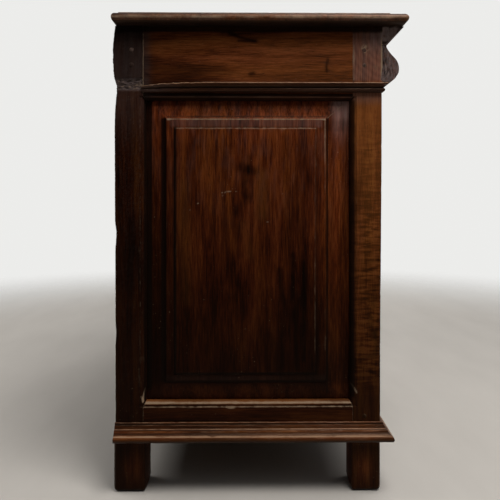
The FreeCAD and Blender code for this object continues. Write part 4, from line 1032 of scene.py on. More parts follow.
# ---------------------------------------------------------------- end panels
def end_panel(left):
    def place(u, v, d):
        return xyz(-XE + d, u, v)

    r0 = (-168, 230, 162, 742, 15.4)
    r1 = (S_Y0, S_Y1, S_Z0, S_Z1, 14.2)
    r2 = (-126, 196, 193, 711, 8.8)
    rings = [r0, r1] + between(r1, r2, 16) + [
        r2, (-123.5, 193.5, 195.5, 708.5, 8.5), (-121, 191, 198, 706, 7.8), (-118.8, 188.8, 200.2, 703.8, 6.8), (-117, 187, 202, 702, 5.6), (-115.7, 185.7, 203.3, 700.7, 4.5),
        (-114.7, 184.7, 204.3, 699.7, 3.8), (-113.6, 183.6, 205.4, 698.6, 3.5), (-111, 181.4, 207.6, 695.4, 3.35), (-108.5, 179.5, 209.5, 692.5, 3.3), (-103, 175, 213.5, 687.5, 3.2), (-97.6, 170.6, 217.4, 683.6, 3.3),
        (-96.3, 169.3, 218.7, 682.3, 3.1), (-95.6, 168.6, 219.4, 681.6, 1.9), (-94.9, 167.9, 220.1, 680.9, 1.25), (-93.4, 166.4, 221.6, 679.4, 1.0),
        (-90, 163, 225, 676, 0.95)]
    back = [(-165, 227, 165, 739, 22), (-168, 230, 162, 742, 21.2)]
    n = (100, 180) if left else (60, 100)
    part = nested(rings, n[0], n[1], place, back)
    return part if left else mirrored(part)


def panel_paint(V, N, i):
    x, y = picture(V)
    n = fbm(V / np.array([8.0, 6.0, 22.0]), 75, 3)
    # tone by height and darker to the left: painted light falling off downwards and away from the lamp, with a darker
    # patch of figure lower right; the strokes below are dark figure
    tone = np.interp(y, [95, 116, 121, 129, 132, 146, 200, 290, 372, 384, 389, 400], [1.72, 1.62, 1.05, 1.05, 1.28, 1.0, 0.84, 0.46, 0.16, 0.18, 0.34, 0.34]) * (0.86 + 0.14 * smooth(160, 230, x)) * (1 - 0.40 * smooth(250, 296, x) * smooth(262, 335, y))
    for points, w, k in (([(240, 167), (247, 169), (254, 170)], 5.0, 0.62), ([(248, 167), (252, 173)], 3.2, 0.60), ([(242, 150), (243, 163)], 2.4, 0.35), ([(249, 156), (250, 170)], 2.6, 0.50), ([(246, 172), (244, 186), (246, 198)], 4.2, 0.72),
                         ([(245, 199), (240, 206), (236, 212)], 5.0, 0.55), ([(252, 180), (253, 196)], 2.0, 0.35), ([(236, 226), (239, 256)], 3.0, 0.36), ([(297, 176), (298, 222)], 1.6, 0.35),
                         ([(280, 270), (284, 310), (282, 366)], 3.0, 0.66), ([(292, 255), (294, 305), (297, 368)], 2.8, 0.80), ([(304, 262), (305, 310), (303, 360)], 2.4, 0.80),
                         ([(262, 330), (268, 368)], 4.0, 0.40), ([(270, 335), (280, 370)], 4.5, 0.45), ([(240, 285), (244, 318)], 3.0, 0.35), ([(203, 320), (206, 352)], 3.5, 0.30),
                         ([(288, 300), (290, 330)], 2.0, 0.40), ([(226, 355), (228, 368)], 2.5, 0.35)):
        tone = tone * (1 - k * np.clip(stroke(x, y, points, w) * (1 + 0.8 * n), 0, 1))
    pale = 0.0
    for points, w, k in (([(222, 192.5), (230, 191.5), (238, 191.5)], 1.0, 0.60), ([(190, 210), (194, 205), (201, 202)], 1.0, 0.60), ([(216, 197), (223, 196)], 1.3, 0.62), ([(225, 222.5), (228, 223)], 1.3, 0.70), ([(267, 222), (270, 222)], 1.1, 0.55),
                         ([(279, 198), (283, 193)], 1.1, 0.60), ([(201, 300), (215, 299)], 0.8, 0.32), ([(239, 322), (246, 330)], 0.9, 0.30), ([(205, 364), (209, 367)], 1.0, 0.40)):
        pale = pale + 1.1 * k * stroke(x, y, points, w) * np.clip(0.2 + 2.0 * fbm(V / 6.0, 92, 2), 0, 1)
    out = N[:, 0] < 0.5
    warm = 0.35 * np.clip(stroke(x, y, [(262, 175), (262, 215)], 6.0) + 0.7 * stroke(x, y, [(183, 185), (186, 300)], 6.0) + 0.6 * stroke(x, y, [(244, 225), (250, 255)], 5.0), 0, 1)
    # the left bevel, turned from the light, is painted darker, most so low down, and the right bevel, turned towards
    # it, lighter: painted shade and painted light
    edge = smooth(166, 160, x) * smooth(98, 108, y)
    tone = tone * (1 - edge + edge * np.interp(y, [110, 165, 240, 335, 400], [1.40, 1.22, 0.66, 0.47, 0.45]))
    far = smooth(326, 330, x)
    tone = tone * (1 - far + far * np.interp(y, [160, 250, 335, 390], [1.1, 1.22, 2.05, 1.6]))
    # the upward-facing band above the top step is painted lighter as painted light; the sheen on the right bevel's top
    # is a painted reflection
    upper = smooth(118.5, 120, y) * smooth(127.6, 126.2, y) * smooth(168, 172, x) * smooth(324, 320, x)
    tone = tone * (1 + 0.2 * upper)
    sheen = smooth(329, 338, x) * smooth(155, 100, y) * smooth(97, 101, y)

    def band(v, at, w):
        return np.exp(-((v - at) / w) ** 2)

    # the left riser is painted darker as painted shade, and the right riser and a band on the right bevel lighter as
    # painted light
    across, inner_across = smooth(164, 167, x) * smooth(328, 325, x), smooth(173, 175, x) * smooth(318, 316, x)
    along, inner_along = smooth(116, 119, y) * smooth(385, 381, y), smooth(126, 129, y) * smooth(376, 373, y)
    left = smooth(165.0, 166.2, x) * smooth(174.8, 173.6, x) * along
    tone = tone * (1 - left + left * np.interp(y, [118, 140, 200, 300, 380], [0.95, 0.85, 0.60, 0.52, 0.60])) * (1 - 0.25 * smooth(192, 178, x) * smooth(175.5, 176.5, x) * inner_along)
    tone = tone * (1 + 0.40 * band(x, 323.4, 2.2) * along + 0.40 * band(x, 338.5, 2.6) * smooth(105, 120, y) - 0.28 * smooth(343.5, 345.5, x) * smooth(110, 150, y))
    # pale lines along the top and right step edges and along the top right mitre are painted highlights, broken by
    # noise
    wear = np.clip(0.90 + 0.25 * n, 0, 1)
    pale = pale + wear * (0.72 * band(y, 118.8, 0.85) * across + 0.62 * band(y, 127.7, 0.8) * inner_across + (0.66 * band(x, 325.6, 0.7) * along + 0.52 * band(x, 316.3, 0.65) * inner_along)
                          * (0.42 + 0.58 * smooth(240, 125, y)) + 0.22 * band(x, 168.6, 1.6) * along + 0.55 * stroke(x, y, [(347, 101), (328, 117.5)], 1.0))
    # dirt here is painted shade: under the top step, on the left and bottom risers, and along the outer rim at left and
    # top
    dirt = 0.55 * band(y, 115.9, 0.9) * across + 0.85 * smooth(157.5, 163.2, x) * smooth(167.0, 165.4, x) * along + 1.0 * band(x, 175.2, 1.2) * inner_along + 0.5 * band(x, 317.9, 0.9) * inner_along
    dirt = dirt + 0.75 * band(x, 327.8, 1.0) * along + 1.25 * band(y, 382.3, 1.5) * across + 1.0 * band(y, 373.8, 1.0) * inner_across
    dirt = dirt + 1.0 * smooth(153.0, 149.5, x) * smooth(396, 388, y) + 0.5 * smooth(101.5, 99.5, y)
    # grey: a painted sheen on the right bevel and the upward-facing band, grey in the shaded bottom band, and faint
    # bloom
    grey = 0.55 * sheen + 0.25 * upper + 0.35 * smooth(375, 376.5, y) * smooth(382, 380.5, y) * across + 0.10 * np.clip(0.2 + 1.4 * n, 0, 1) * smooth(260, 150, y)
    return {"tone": np.where(out, tone * (1 + 0.35 * sheen), 0.8), "pale": np.clip(pale, 0, 1) * out, "warm": warm * out, "grey": grey * out, "dirt": np.clip(dirt, 0, 1) * out}


def fielded(V, N, sides):
    """Darker in the corners and along the risers of a fielded panel, as old wax and as painted shade; paler arrises, as
    wear and as painted highlights; and darker towards the floor, as painted shade and grime. sides holds the distance
    in from each side, and where the two arrises lie.
    """
    n = fbm(V / np.array([14.0, 14.0, 14.0]), 91, 3)
    a = np.min([d / outer for d, outer, inner in sides], 0)
    b = np.min([d / inner for d, outer, inner in sides], 0)
    dirt = 0.95 * smooth(0.16, 0.05, a) + 0.60 * np.exp(-((a - 0.87) / 0.055) ** 2) + 0.65 * np.exp(-((b - 0.955) / 0.02) ** 2)
    pale = (0.65 * np.exp(-((a - 1.0) / 0.03) ** 2) + 0.50 * np.exp(-((b - 1.0) / 0.016) ** 2)) * np.clip(0.75 + 0.7 * n, 0, 1)
    return {"dirt": np.clip(dirt, 0, 1), "pale": np.clip(pale, 0, 1), "tone": 0.62 + 0.38 * smooth(60, 600, V[:, 2])}


def right_panel_paint(V, N, i):
    y, z = V[:, 1], V[:, 2]
    out = N[:, 0] > -0.5
    r = fielded(V, N, ((y - S_Y0, 47.4, 66.1), (S_Y1 - y, 39.4, 55.1), (z - S_Z0, 36.4, 51.1), (S_Z1 - z, 36.4, 54.1)))
    return {"dirt": r["dirt"] * out, "pale": r["pale"] * out, "tone": r["tone"]}


for left in (True, False):
    node = "%s_end_panel" % ("left" if left else "right")
    piece(node + "_look", [end_panel(left)], node, LOOK["panel_wood"], grain="z", und=0.5, wl=110, chip=0.45, wear=0.75, paint=panel_paint if left else right_panel_paint)


# ---------------------------------------------------------------- pegs, proud and roughly faceted
def peg(y, z, left, seed):
    n = 8
    tilt = (chance(seed, 2) - 0.5) * 0.5
    out = 0.85 if y > 0 and z > 500 else 0.25
    prof = [(3.6, 33.5), (4.1, 32.5), (4.15, 3.0), (4.15, 0.6), (4.0, 0.3 - 0.7 * out), (3.5, 0.15 - out), (1.8, 0.05 - 1.1 * out), (0.4, -1.1 * out)]

    def place(a, b, h):
        return xyz(-XE + h + tilt[0] * a * 0.15 * (h < 0), y + a, z + b)

    part = lathe(prof, n, place, phase=chance(seed + 3)[0], wobble=0.13, seed=seed)
    return part if left else mirrored(part)


def peg_paint(V, N, i):
    if V[:, 2].mean() < 500:
        return {"tone": 0.55}
    if V[:, 1].mean() > 0:
        return {"tone": 1.3, "grey": 0.5} if V[:, 2].mean() > 815 else {"tone": 0.75, "grey": 0.3}
    return {"tone": 1.6, "grey": 0.3}


pegs = [peg(y, z, left, 50 + i) for i, (left, y, z) in enumerate((l, y, z) for l in (True, False) for y in (-187, 249) for z in (828, 800, 141))]
piece("frame_pegs_look", pegs, "frame_pegs", LOOK["peg_wood"], grain="x", und=0.0, chip=0.0, soft=50, wear=0.4, paint=peg_paint)


# ---------------------------------------------------------------- front frame
front = {
    "front_top_rail": ((-584.9, -218, 840.2), (584.9, -188, 873)),
    "drawer_rail": ((-584.9, -218, 735), (584.9, -188, 768)),
    "front_bottom_rail": ((-584.9, -218, 100), (584.9, -188, 150)),
    "drawer_divider": ((-30, -218, 768.1), (30, -188, 839.9)),
}
for i, (node, (lo, hi)) in enumerate(front.items()):
    piece(node + "_look", [board(lo, hi, 1.2, (6.0, 6.0, 5.0), seed=i)], node, LOOK["carcase_wood"], grain="z" if node == "drawer_divider" else "x", und=0.3, paint=low_shade_and_grime, wear=0.35)
muntin = board((-30, -218, 150.1), (30, -168, 734.9), 1.6, (5, 6, 6), seed=8,
               pockets=[(0, 0, -189.6, -180.4, 447.0, 463.0, 14.0), (0, 1, -189.6, -180.4, 447.0, 463.0, 14.0)])
piece("centre_muntin_look", [muntin], "centre_muntin", LOOK["carcase_wood"], grain="z", und=0.35, paint=low_shade_and_grime, wear=0.3)

OGEE = [(14.5, 0), (4.9, 9.6), (0.2, 16.7), (0.2, 28.5), (2.8, 36.5), (10.1, 45.7), (18.5, 55.5), (24.5, 65.9), (25, 69)]
ogee_curve = curve_points([(14.5, 0), (9.4, 4.2), (4.9, 9.6), (1.4, 15.6), (0.3, 22.5), (1.0, 30.5), (3.6, 38.0), (8.6, 44.8), (14.2, 50.6), (19.4, 57.0), (23.2, 63.2), (24.8, 69)], 3)


def ogee(x0, x1, back, step, core=None):
    prof = eased(np.concatenate([ogee_curve, [(back, 69), (back, 0)]]), 0.8, 4.0)
    t = np.linspace(0, 1, max(3, int((x1 - x0) / step)) + 1)
    e = min(0.4, 1.2 / (x1 - x0))
    t = np.concatenate([[0, e], t[1:-1], [1 - e, 1]])
    return extrude(prof, t, lambda p, h: x0 + 0 * p, lambda p, h: x1 + 0 * p, lambda p, h, s: xyz(s, -253 + p, 769.5 + h), core)


def end_grain(V, N, i):
    """Rough, dried and grey where the wood is cut across, with painted shadow under the top and in the notch above the
    frieze, and painted light that lifts the shaded upper end of the cornice.
    """
    cut = (np.abs(V[:, 0]) > 647.5) * np.where(V[:, 0] < 0, 1.0, 0.45)
    n = fbm(V / np.array([3.0, 1.7, 9.0]), 83, 2)
    m = fbm(V / np.array([9.0, 9.0, 16.0]), 84, 2)
    # dark at the very top and in the notch at 840 to 848 mm: painted shadow
    dirt = np.clip(0.20 - 0.45 * n - 0.4 * m, 0, 1) + 0.4 * smooth(868, 872, V[:, 2]) + 0.8 * smooth(848, 842, V[:, 2]) * smooth(836, 840, V[:, 2])
    return {"grey": 1.25 * cut, "tone": 1 + (0.35 + 0.8 * n + 0.7 * smooth(845, 852, V[:, 2])) * cut, "pale": np.clip(0.9 * n - 0.05, 0, 0.45) * cut, "dirt": np.clip(dirt, 0, 1) * cut}


def end_rough(V, W, N, i):
    """Ends cut across are torn a little."""
    W = W.copy()
    W[:, 0] -= np.sign(V[:, 0]) * 0.6 * np.clip(0.3 + fbm(V / np.array([3.0, 2.2, 9.0]), 85, 2), 0, 1) * (np.abs(N[:, 0]) > 0.8) * (np.abs(V[:, 0]) > 645)
    return W


piece("frieze_blocks_look", [ogee(-650, -585.2, 35, 3.0, (21, 30)), ogee(-29.8, 29.8, 35, 3.0), ogee(585.2, 650, 35, 3.0, (21, 30))], "frieze_blocks", LOOK["frieze_wood"], grain="x",
      und=0.4, chip=0.9, paint=end_grain, carve=end_rough)

CORNICE = [(45, 0), (45, 33), (0, 33), (0, 30), (9, 24.5), (19.5, 15), (29, 6.5), (33, 2.5), (35, 0)]
cove = curve_points([(1.5, 32.0), (3.4, 29.9), (6.4, 26.6), (10.5, 22.8), (16.0, 17.6), (21.0, 13.2), (27.0, 8.6), (31.5, 4.2), (33.6, 1.6), (35, 0)], 3)
corn = eased(np.concatenate([[(45, 0), (45, 33), (1.5, 33)], cove]), 0.7, 3.0)
piece("cornice_moulding_look", [extrude(corn, np.concatenate([[0, 0.0008], np.linspace(0.003, 0.997, 300), [0.9992, 1]]), lambda p, h: -649.9 + 0 * p, lambda p, h: 649.9 + 0 * p,
                                        lambda p, h, s: xyz(s, -263 + p, 840 + h), (33, 21))], "cornice_moulding", LOOK["moulding_wood"], grain="x", und=0.4, chip=0.9, wear=0.4, paint=end_grain, carve=end_rough)


# ---------------------------------------------------------------- top
def top_board():
    def ring(o, z):
        return (-675 + o, 675 - o, -265 + o, 282 - 0.75 * min(o, 9) - 0.4 * max(0, o - 26.7), z)

    back = [(-640, 640, -230, 250, 873.0), ring(9.5, 873.0), ring(8.4, 873.05)]
    nose = []
    for a in np.radians(np.linspace(-80, 88, 24)):
        nose.append(ring(9 - 9.0 * math.cos(a), 882.2 + 9.2 * math.sin(a)))
    ledge = [ring(12, 891.7), ring(18, 891.7), ring(24.0, 891.5), ring(26.0, 891.6)]
    step = [ring(26.7, 892.4), ring(27.1, 894.5), ring(27.6, 897.6), ring(28.4, 899.2), ring(29.8, 899.85), ring(33, 900.0)]

    def planks(u, v):
        d = np.zeros(len(u))
        for y, s in ((-92, 3), (78, 5), (205, 9)):
            w = v - y - 1.2 * noise1(u / 260.0, s)
            d -= 0.7 * np.exp(-(w / 1.6) ** 2) * (0.4 + 0.6 * (noise1(u / 120.0, s + 40) > -0.35))
        return d

    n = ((240, 120))
    return nested(nose + ledge + step, n[0], n[1], lambda u, v, d: xyz(u, v, d), back, planks)


def top_paint(V, N, i):
    n = fbm(V / np.array([60.0, 30.0, 8.0]), 81, 3)
    nose = smooth(892.5, 891.0, V[:, 2])
    z = V[:, 2]
    flat = smooth(898.5, 899.5, z)
    board_tone, joint = np.ones(len(V)), np.zeros(len(V))
    for y, sd, k in ((-92, 3, 0.16), (78, 5, -0.20), (205, 9, 0.12)):
        w = V[:, 1] - y - 1.2 * noise1(V[:, 0] / 260.0, sd)
        board_tone += k * smooth(-1.5, 1.5, w)
        joint += np.exp(-(w / 2.6) ** 2) * (0.5 + 0.5 * (noise1(V[:, 0] / 120.0, sd + 40) > -0.35))
    rings = np.zeros(len(V))
    for cx, cy, r in ((210, -30, 48), (-330, 60, 39), (245, 8, 36)):
        rings += np.exp(-((np.hypot(V[:, 0] - cx, V[:, 1] - cy) - r) / 3.2) ** 2) * np.clip(0.6 + 1.2 * fbm(V / 40.0, int(r), 2), 0, 1)
    # pale on the nose: a painted highlight
    pale = (0.60 * np.exp(-((z - 881.8) / 3.0) ** 2) + 0.40 * np.exp(-((z - 885.0) / 1.0) ** 2)) * np.clip(0.82 + 0.6 * n, 0.3, 1) * nose
    # tone: the nose painted lighter and darker at its top edge, painted light and shade, with the boards' own tones and
    # rings; dirt: dark plank joints, painted shadow under the nose and painted shade in the step up to the field
    return {"grey": 0.30 * nose * np.clip(0.6 + n, 0, 1), "tone": (1 + 0.25 * nose - 0.85 * nose * smooth(886.6, 889.5, z)) * (1 + flat * (board_tone - 1 - 0.22 * rings)), "pale": pale, "dirt": 0.75 * flat * joint + 1.0 * smooth(878.5, 874.2, z) + 0.5 * np.exp(-((z - 896) / 3.0) ** 2)}


piece("top_board_look", [top_board()], "top_board", LOOK["top_wood"], grain="x", und=0.35, wl=120, chip=0.9, paint=top_paint)


# ---------------------------------------------------------------- mouldings with mitred corners
def lengths(profile, z0, n_end, n_front, stop=279.9):
    """A front length and two end returns of a moulding on the carcase."""
    t_end = np.concatenate([[0, 0.001], np.linspace(0.005, 0.995, n_end), [0.999, 1]])
    t_front = np.concatenate([[0, 0.0005], np.linspace(0.002, 0.998, n_front), [0.9995, 1]])
    left = extrude(profile, t_end, lambda p, h: -218.0 - p + 0.1, lambda p, h: stop + 0 * p, lambda p, h, s: xyz(-650 - p, s, z0 + h))
    right = extrude(profile, t_end, lambda p, h: -218.0 - p + 0.1, lambda p, h: 279.9 + 0 * p, lambda p, h, s: xyz(-650 - p, s, z0 + h))
    fr = extrude(profile, t_front, lambda p, h: -650.0 - p + 0.1, lambda p, h: 650.0 + p - 0.1, lambda p, h, s: xyz(s, -218 - p, z0 + h))
    return [left + ("y",), fr + ("x",), mirrored(outward(*right)) + ("y",)]


waist_prof = eased(np.array([(-0.4, 0), (3.2, 0.6), (6.2, 2.4), (7.2, 5.0), (6.6, 7.4), (4.8, 8.6), (4.9, 10.2), (6.2, 12.2), (8.6, 13.7), (11.4, 14.3), (12, 15.0), (12, 17.3), (11.3, 18), (-0.4, 18)]), 0.5, 0.8)
base_prof = eased(np.array([(-0.4, 0), (18.6, 0), (20.6, 1.8), (21.5, 4.4), (21.2, 7.6), (19.8, 10.2), (18.4, 11.4), (16.4, 12.4), (14.2, 14.0), (12.2, 16.6), (11.4, 19.0), (11.0, 20.0),
                            (9.0, 20.6), (7.2, 22.6), (5.8, 25.6), (4.6, 27.8), (4.1, 28.6), (4.1, 30.6), (3.4, 32.2), (2.0, 33), (-0.4, 33)]), 0.4, 0.9)


def waist_carve(V, W, N, i):
    if i != 0:
        return W
    x, y = picture(V)
    W = W.copy()
    n = fbm(V / np.array([5.0, 9.0, 5.0]), 76, 3)
    e = np.clip(np.interp(x, [140, 144, 150, 165, 182, 204], [0.10, 0.22, 0.45, 0.72, 0.88, 1.0]) + 0.16 * n * smooth(215, 190, x), 0.05, 1)
    proud = np.maximum(0, -650 - W[:, 0])
    W[:, 0] = np.where(proud > 0, -650 - proud * e, W[:, 0])
    W[:, 2] -= (W[:, 2] - 748) * 0.42 * (1 - e)
    W[:, 2] += 0.45 * noise1(V[:, 1] / 7.0, 77) * (V[:, 2] > 761)
    return W


def waist_paint(V, N, i):
    x, y = picture(V)
    n = fbm(V / 4.0, 78, 3)
    proud = -218 - V[:, 1] if i == 1 else np.abs(V[:, 0]) - 650
    rim = smooth(9.6, 11.2, proud)
    # pale along the top rim and along the lower bead: painted highlights; on the left return, pale and grey are wear
    pale = (1.0 if i == 0 else 0.5) * smooth(763.6, 765.0, V[:, 2]) * rim * np.clip(0.8 + 0.7 * n, 0, 1) + 0.50 * np.exp(-((V[:, 2] - 754.2) / 0.8) ** 2) * np.clip(0.6 + n, 0, 1)
    grey = 0.15
    if i == 0:
        pale = pale + 0.35 * smooth(175, 150, x) * np.clip(0.2 + n, 0, 1)
        grey = 0.15 + 0.6 * smooth(190, 150, x)
    # dirt: painted shade in the lines under the fascia and at the bottom, and the top face darkened towards the
    # carcase; tone: darker low down as painted shade
    dirt = 0.6 * smooth(765.0, 765.8, V[:, 2]) * smooth(9.0, 5.0, proud) + 0.8 * np.exp(-((V[:, 2] - 757.5) / 1.2) ** 2) + 0.7 * smooth(750.5, 748.5, V[:, 2])
    return {"tone": 0.36 + 0.14 * smooth(757, 760, V[:, 2]), "pale": np.clip(pale, 0, 1), "dirt": dirt, "grey": grey}


def base_paint(V, N, i):
    n = fbm(V / np.array([14.0, 14.0, 3.0]), 79, 3)
    h = V[:, 2] - 99
    # pale lines: painted highlights on the rounds; dark: painted shade in the hollows and under the bottom round; the
    # lighter bands in tone are painted light too, and the far end is darkened as painted shade
    pale = sum(k * np.exp(-((h - a) / w) ** 2) for a, w, k in ((32.4, 0.7, 0.56), (28.0, 0.6, 0.58), (21.6, 0.9, 0.76), (18.0, 0.9, 0.50), (11.6, 1.3, 1.0)))
    dark = sum(k * np.exp(-((h - a) / w) ** 2) for a, w, k in ((30.2, 1.0, 1.35), (24.8, 1.4, 0.7), (20.1, 0.6, 0.6), (14.8, 1.4, 1.1), (2.6, 3.8, 1.35)))
    far = smooth(364, 384, picture(V)[0]) if i == 0 else 0
    return {"tone": (0.62 + 0.45 * np.exp(-((h - 18) / 2.4) ** 2) + 0.40 * np.exp(-((h - 10.0) / 2.2) ** 2)) * (1 - 0.66 * np.clip(dark, 0, 1.4)) * (1 - 0.5 * far), "pale": np.clip(pale * (0.88 + 0.45 * n), 0, 1) * (1 - 0.35 * far), "warm": 0.35 * np.exp(-((h - 5.5) / 3.5) ** 2)}


piece("waist_moulding_look", lengths(waist_prof, 748, 190, 320, 231.0), "waist_moulding", LOOK["moulding_wood"], und=0.35, wl=30, chip=1.1, wear=0.2, carve=waist_carve, paint=waist_paint)
piece("base_moulding_look", lengths(base_prof, 99, 190, 280), "base_moulding", LOOK["moulding_wood"], und=0.4, wl=40, chip=1.1, wear=0.25, paint=base_paint)

# ---------------------------------------------------------------- back and inside
piece("back_boards_look", [board(lo, hi, 1.2, (6, 6, 7), seed=20 + i) for i, (lo, hi) in enumerate(solids("back_boards"))], "back_boards", LOOK["back_wood"], grain="z",
      und=1.1, wl=55, chip=0.9)
piece("back_rails_look", [board((-584.8, lo[1], lo[2]), (584.8, hi[1], hi[2]), 1.5, (10, 8, 8), seed=30 + i) for i, (lo, hi) in enumerate(solids("back_rails"))], "back_rails",
      LOOK["back_wood"], grain="x", und=0.6)


def nail(x, z, seed):
    prof = [(0.8, -24), (1.6, -20), (1.7, -1.4), (3.9, -1.0), (4.2, -0.4), (3.7, 0.1), (2.4, 0.55), (0.5, 0.75)]
    tilt = (chance(seed, 2) - 0.5) * 0.16
    return lathe(prof, 9, lambda a, b, h: xyz(x + a + 0 * h, 279.3 + h + tilt[0] * a + tilt[1] * b, z + b), phase=chance(seed + 2)[0], wobble=0.14, seed=seed)


nails = [nail(0.5 * (lo[0] + hi[0]), 0.5 * (lo[2] + hi[2]), 400 + i) for i, (lo, hi) in enumerate(solids("back_nails"))]
piece("back_nails_look", nails, "back_nails", LOOK["iron"], und=0.0, chip=0.0, grain="x")

# undersides darker: grime, and painted shade to deepen the shadow under the carcase
piece("floor_boards_look", [board(lo, hi, 1.0, (11, 9, 6), seed=40 + i) for i, (lo, hi) in enumerate(solids("floor_boards"))], "floor_boards", LOOK["inner_wood"], grain="x", und=0.6,
      paint=lambda V, N, i: {"tone": np.where(N[:, 2] < -0.5, 0.25, 1.0)})
piece("shelf_look", [board(lo, hi, 1.6, (10, 8, 6), seed=50 + i) for i, (lo, hi) in enumerate(solids("shelf"))], "shelf", LOOK["inner_wood"], grain="x", und=0.6, chip=0.8)
for node, g in (("bearers", None), ("drawer_runners", "y"), ("door_stops", "x")):
    parts = []
    for i, (lo, hi) in enumerate(solids(node)):
        along = g or "xyz"[int(np.argmax(hi - lo))]
        parts.append(board(lo, hi, 1.2, 9.0, seed=60 + i) + (along,))
    piece(node + "_look", parts, node, LOOK["inner_wood"], und=0.4)


# ---------------------------------------------------------------- drawers
def knob(x):
    prof = curve_points([(6, 0.2), (6, 17.0), (9.6, 17.6), (10.9, 18.8), (10.6, 20.4), (8.6, 21.8), (7.0, 23.6), (6.4, 25.4), (7.4, 27.8), (10.6, 30.4), (13.4, 33.0), (14.5, 36.2),
                         (13.9, 39.2), (11.8, 41.6), (9.2, 42.7), (8.6, 42.9), (8.2, 42.6), (7.4, 43.2), (4.2, 44.1), (0.4, 44.4)], 3)
    prof[:, 0] = np.maximum(prof[:, 0], 0.3)
    return lathe(prof, 40, lambda a, b, h: xyz(x + a, -235.5 - h, 792 + b))


for left in (True, False):
    side = "left" if left else "right"
    body = side + "_drawer"
    flip = (lambda p: p) if left else (lambda p: mirrored(outward(*p)))
    look = LOOK["inner_wood"]
    piece(body + "_front_look", [flip(ogee(-582.5, -32.5, 55, 4.0))], body + "_front", LOOK[SLOT[body + "_front"]], grain="x", und=0.4, chip=0.8)
    piece(body + "_sides_look", [flip(board((-582, -210, 769), (-571, 215, 836), 1.2, (4, 7, 6), seed=70)), flip(board((-44, -210, 769), (-33, 215, 836), 1.2, (4, 7, 6), seed=71))],
          body + "_sides", look, grain="y", und=0.4)
    piece(body + "_back_look", [flip(board((-571, 203, 781), (-44, 215, 832), 1.2, (9, 4, 6), seed=72))], body + "_back", look, grain="x", und=0.4)
    piece(body + "_bottom_look", [flip(board((-577, -204, 774), (-38, -2, 781), 0.6, (10, 9, 4), seed=73)), flip(board((-577, -1.6, 774), (-38, 215, 781), 0.6, (10, 9, 4), seed=74))],
          body + "_bottom", look, grain="x", und=0.4)
    piece(body + "_knob_look", [flip(knob(-307.5))], body + "_knob", LOOK["knob_wood"], grain="y", und=0.12, chip=0.15, soft=30)


# ---------------------------------------------------------------- doors
DX0, DX1, DZ0, DZ1 = -507.0, -108.0, 232.5, 657.5


def door_depth(x, z):
    sx = np.minimum(x - DX0, DX1 - x)            # above 0 inside the opening
    sz = np.minimum(z - DZ0, DZ1 - z)
    return np.minimum(ovolo((sx + 10) / 10.0, 10.0, 0.9), ovolo((sz + 10) / 10.0, 10.0, 0.9))


def door_stile(hinge):
    x_at = (lambda a: -582 + a) if hinge else (lambda a: -33 - a)
    S = stations(152.5, 732.5, 4.0, (222, 222.6, 224.5, 227, 229.5, 231.5, 232.5, 657.5, 658.5, 660.5, 663, 665.5, 667.4, 668))
    S = np.concatenate([[152.5, 152.8], S[1:-1], [732.2, 732.5]])
    return member(75, 26, S, lambda a, d, s: xyz(x_at(a), YF + d, s), r=(1.6, 1, 1, 1), step=3.2, back=8, side=5, mould=65, depth=lambda a, s: door_depth(x_at(a), s))


def door_rail(top):
    z_at = (lambda a: 732.5 - a) if top else (lambda a: 152.5 + a)
    W = 75 if top else 80
    t = np.concatenate([[0, 0.003], np.linspace(0.008, 0.992, 100), [0.997, 1]])
    return member(W, 25.7, t, lambda a, d, s: xyz(s, YF + 0.2 + d, z_at(a)), r=(1.4, 1, 1, 1), step=3.2, back=12, side=8, mould=W - 10,
                  depth=lambda a, s: door_depth(s, z_at(a)), ends=lambda a: (DX0 + 0.12 + 0 * a, DX1 - 0.12 + 0 * a))


def door_panel():
    def ring(i, j, d):
        return (DX0 + i, DX1 - i, DZ0 + j, DZ1 - j, d)

    a, b = ring(0, 0, 12.3), ring(33, 28, 8.2)
    rings = [ring(-7, -7, 13.2), a] + between(a, b, 12) + [
        b, ring(35.5, 30.3, 7.9), ring(37.5, 32, 7.2), ring(39, 33.3, 6.2), ring(40.2, 34.3, 5.2), ring(41.2, 35.3, 4.5), ring(42.4, 36.4, 4.15), ring(44.5, 38.5, 4.0), ring(49, 42.5, 3.9),
        ring(55.5, 48.8, 3.9), ring(57.2, 50.2, 3.8), ring(58.2, 51.2, 2.9), ring(59.1, 52.1, 2.0), ring(60.5, 53.5, 1.6), ring(64, 57, 1.5)]
    back = [ring(-3, -3, 19), ring(-7, -7, 18.4)]
    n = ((64, 76))
    return nested(rings, n[0], n[1], lambda u, v, d: xyz(u, YF + d, v), back)


def door_panel_paint(V, N, i):
    x, z = np.abs(V[:, 0]), V[:, 2]
    out = N[:, 1] < 0.5
    r = fielded(V, N, ((x + DX1, 42.2, 59.3), (-DX0 - x, 42.2, 59.3), (z - DZ0, 36.2, 52.3), (DZ1 - z, 36.2, 52.3)))
    return {"dirt": r["dirt"] * out, "pale": r["pale"] * out, "tone": r["tone"]}


BX, BY = -583.5, -224.5


def screw(place, r=3.2):
    """A slotted screw head, its slot cut as a dip across the middle."""
    a = np.linspace(0, 2 * math.pi, 24, endpoint=False)
    R = []
    for q, h in ((0.9, -2.0), (1.0, -0.15), (0.97, 0.05), (0.8, 0.16), (0.55, 0.2), (0.3, 0.21), (0.1, 0.21)):
        x, y = q * r * np.cos(a), q * r * np.sin(a)
        hh = np.where(np.abs(y) < 0.34, h - 0.5, h) if h > 0.1 else h + 0 * x
        R.append(np.stack([x, y, hh], -1))
    V, Q, P = tube(np.array(R))
    return place(V[:, 0], V[:, 1], V[:, 2]), Q, P


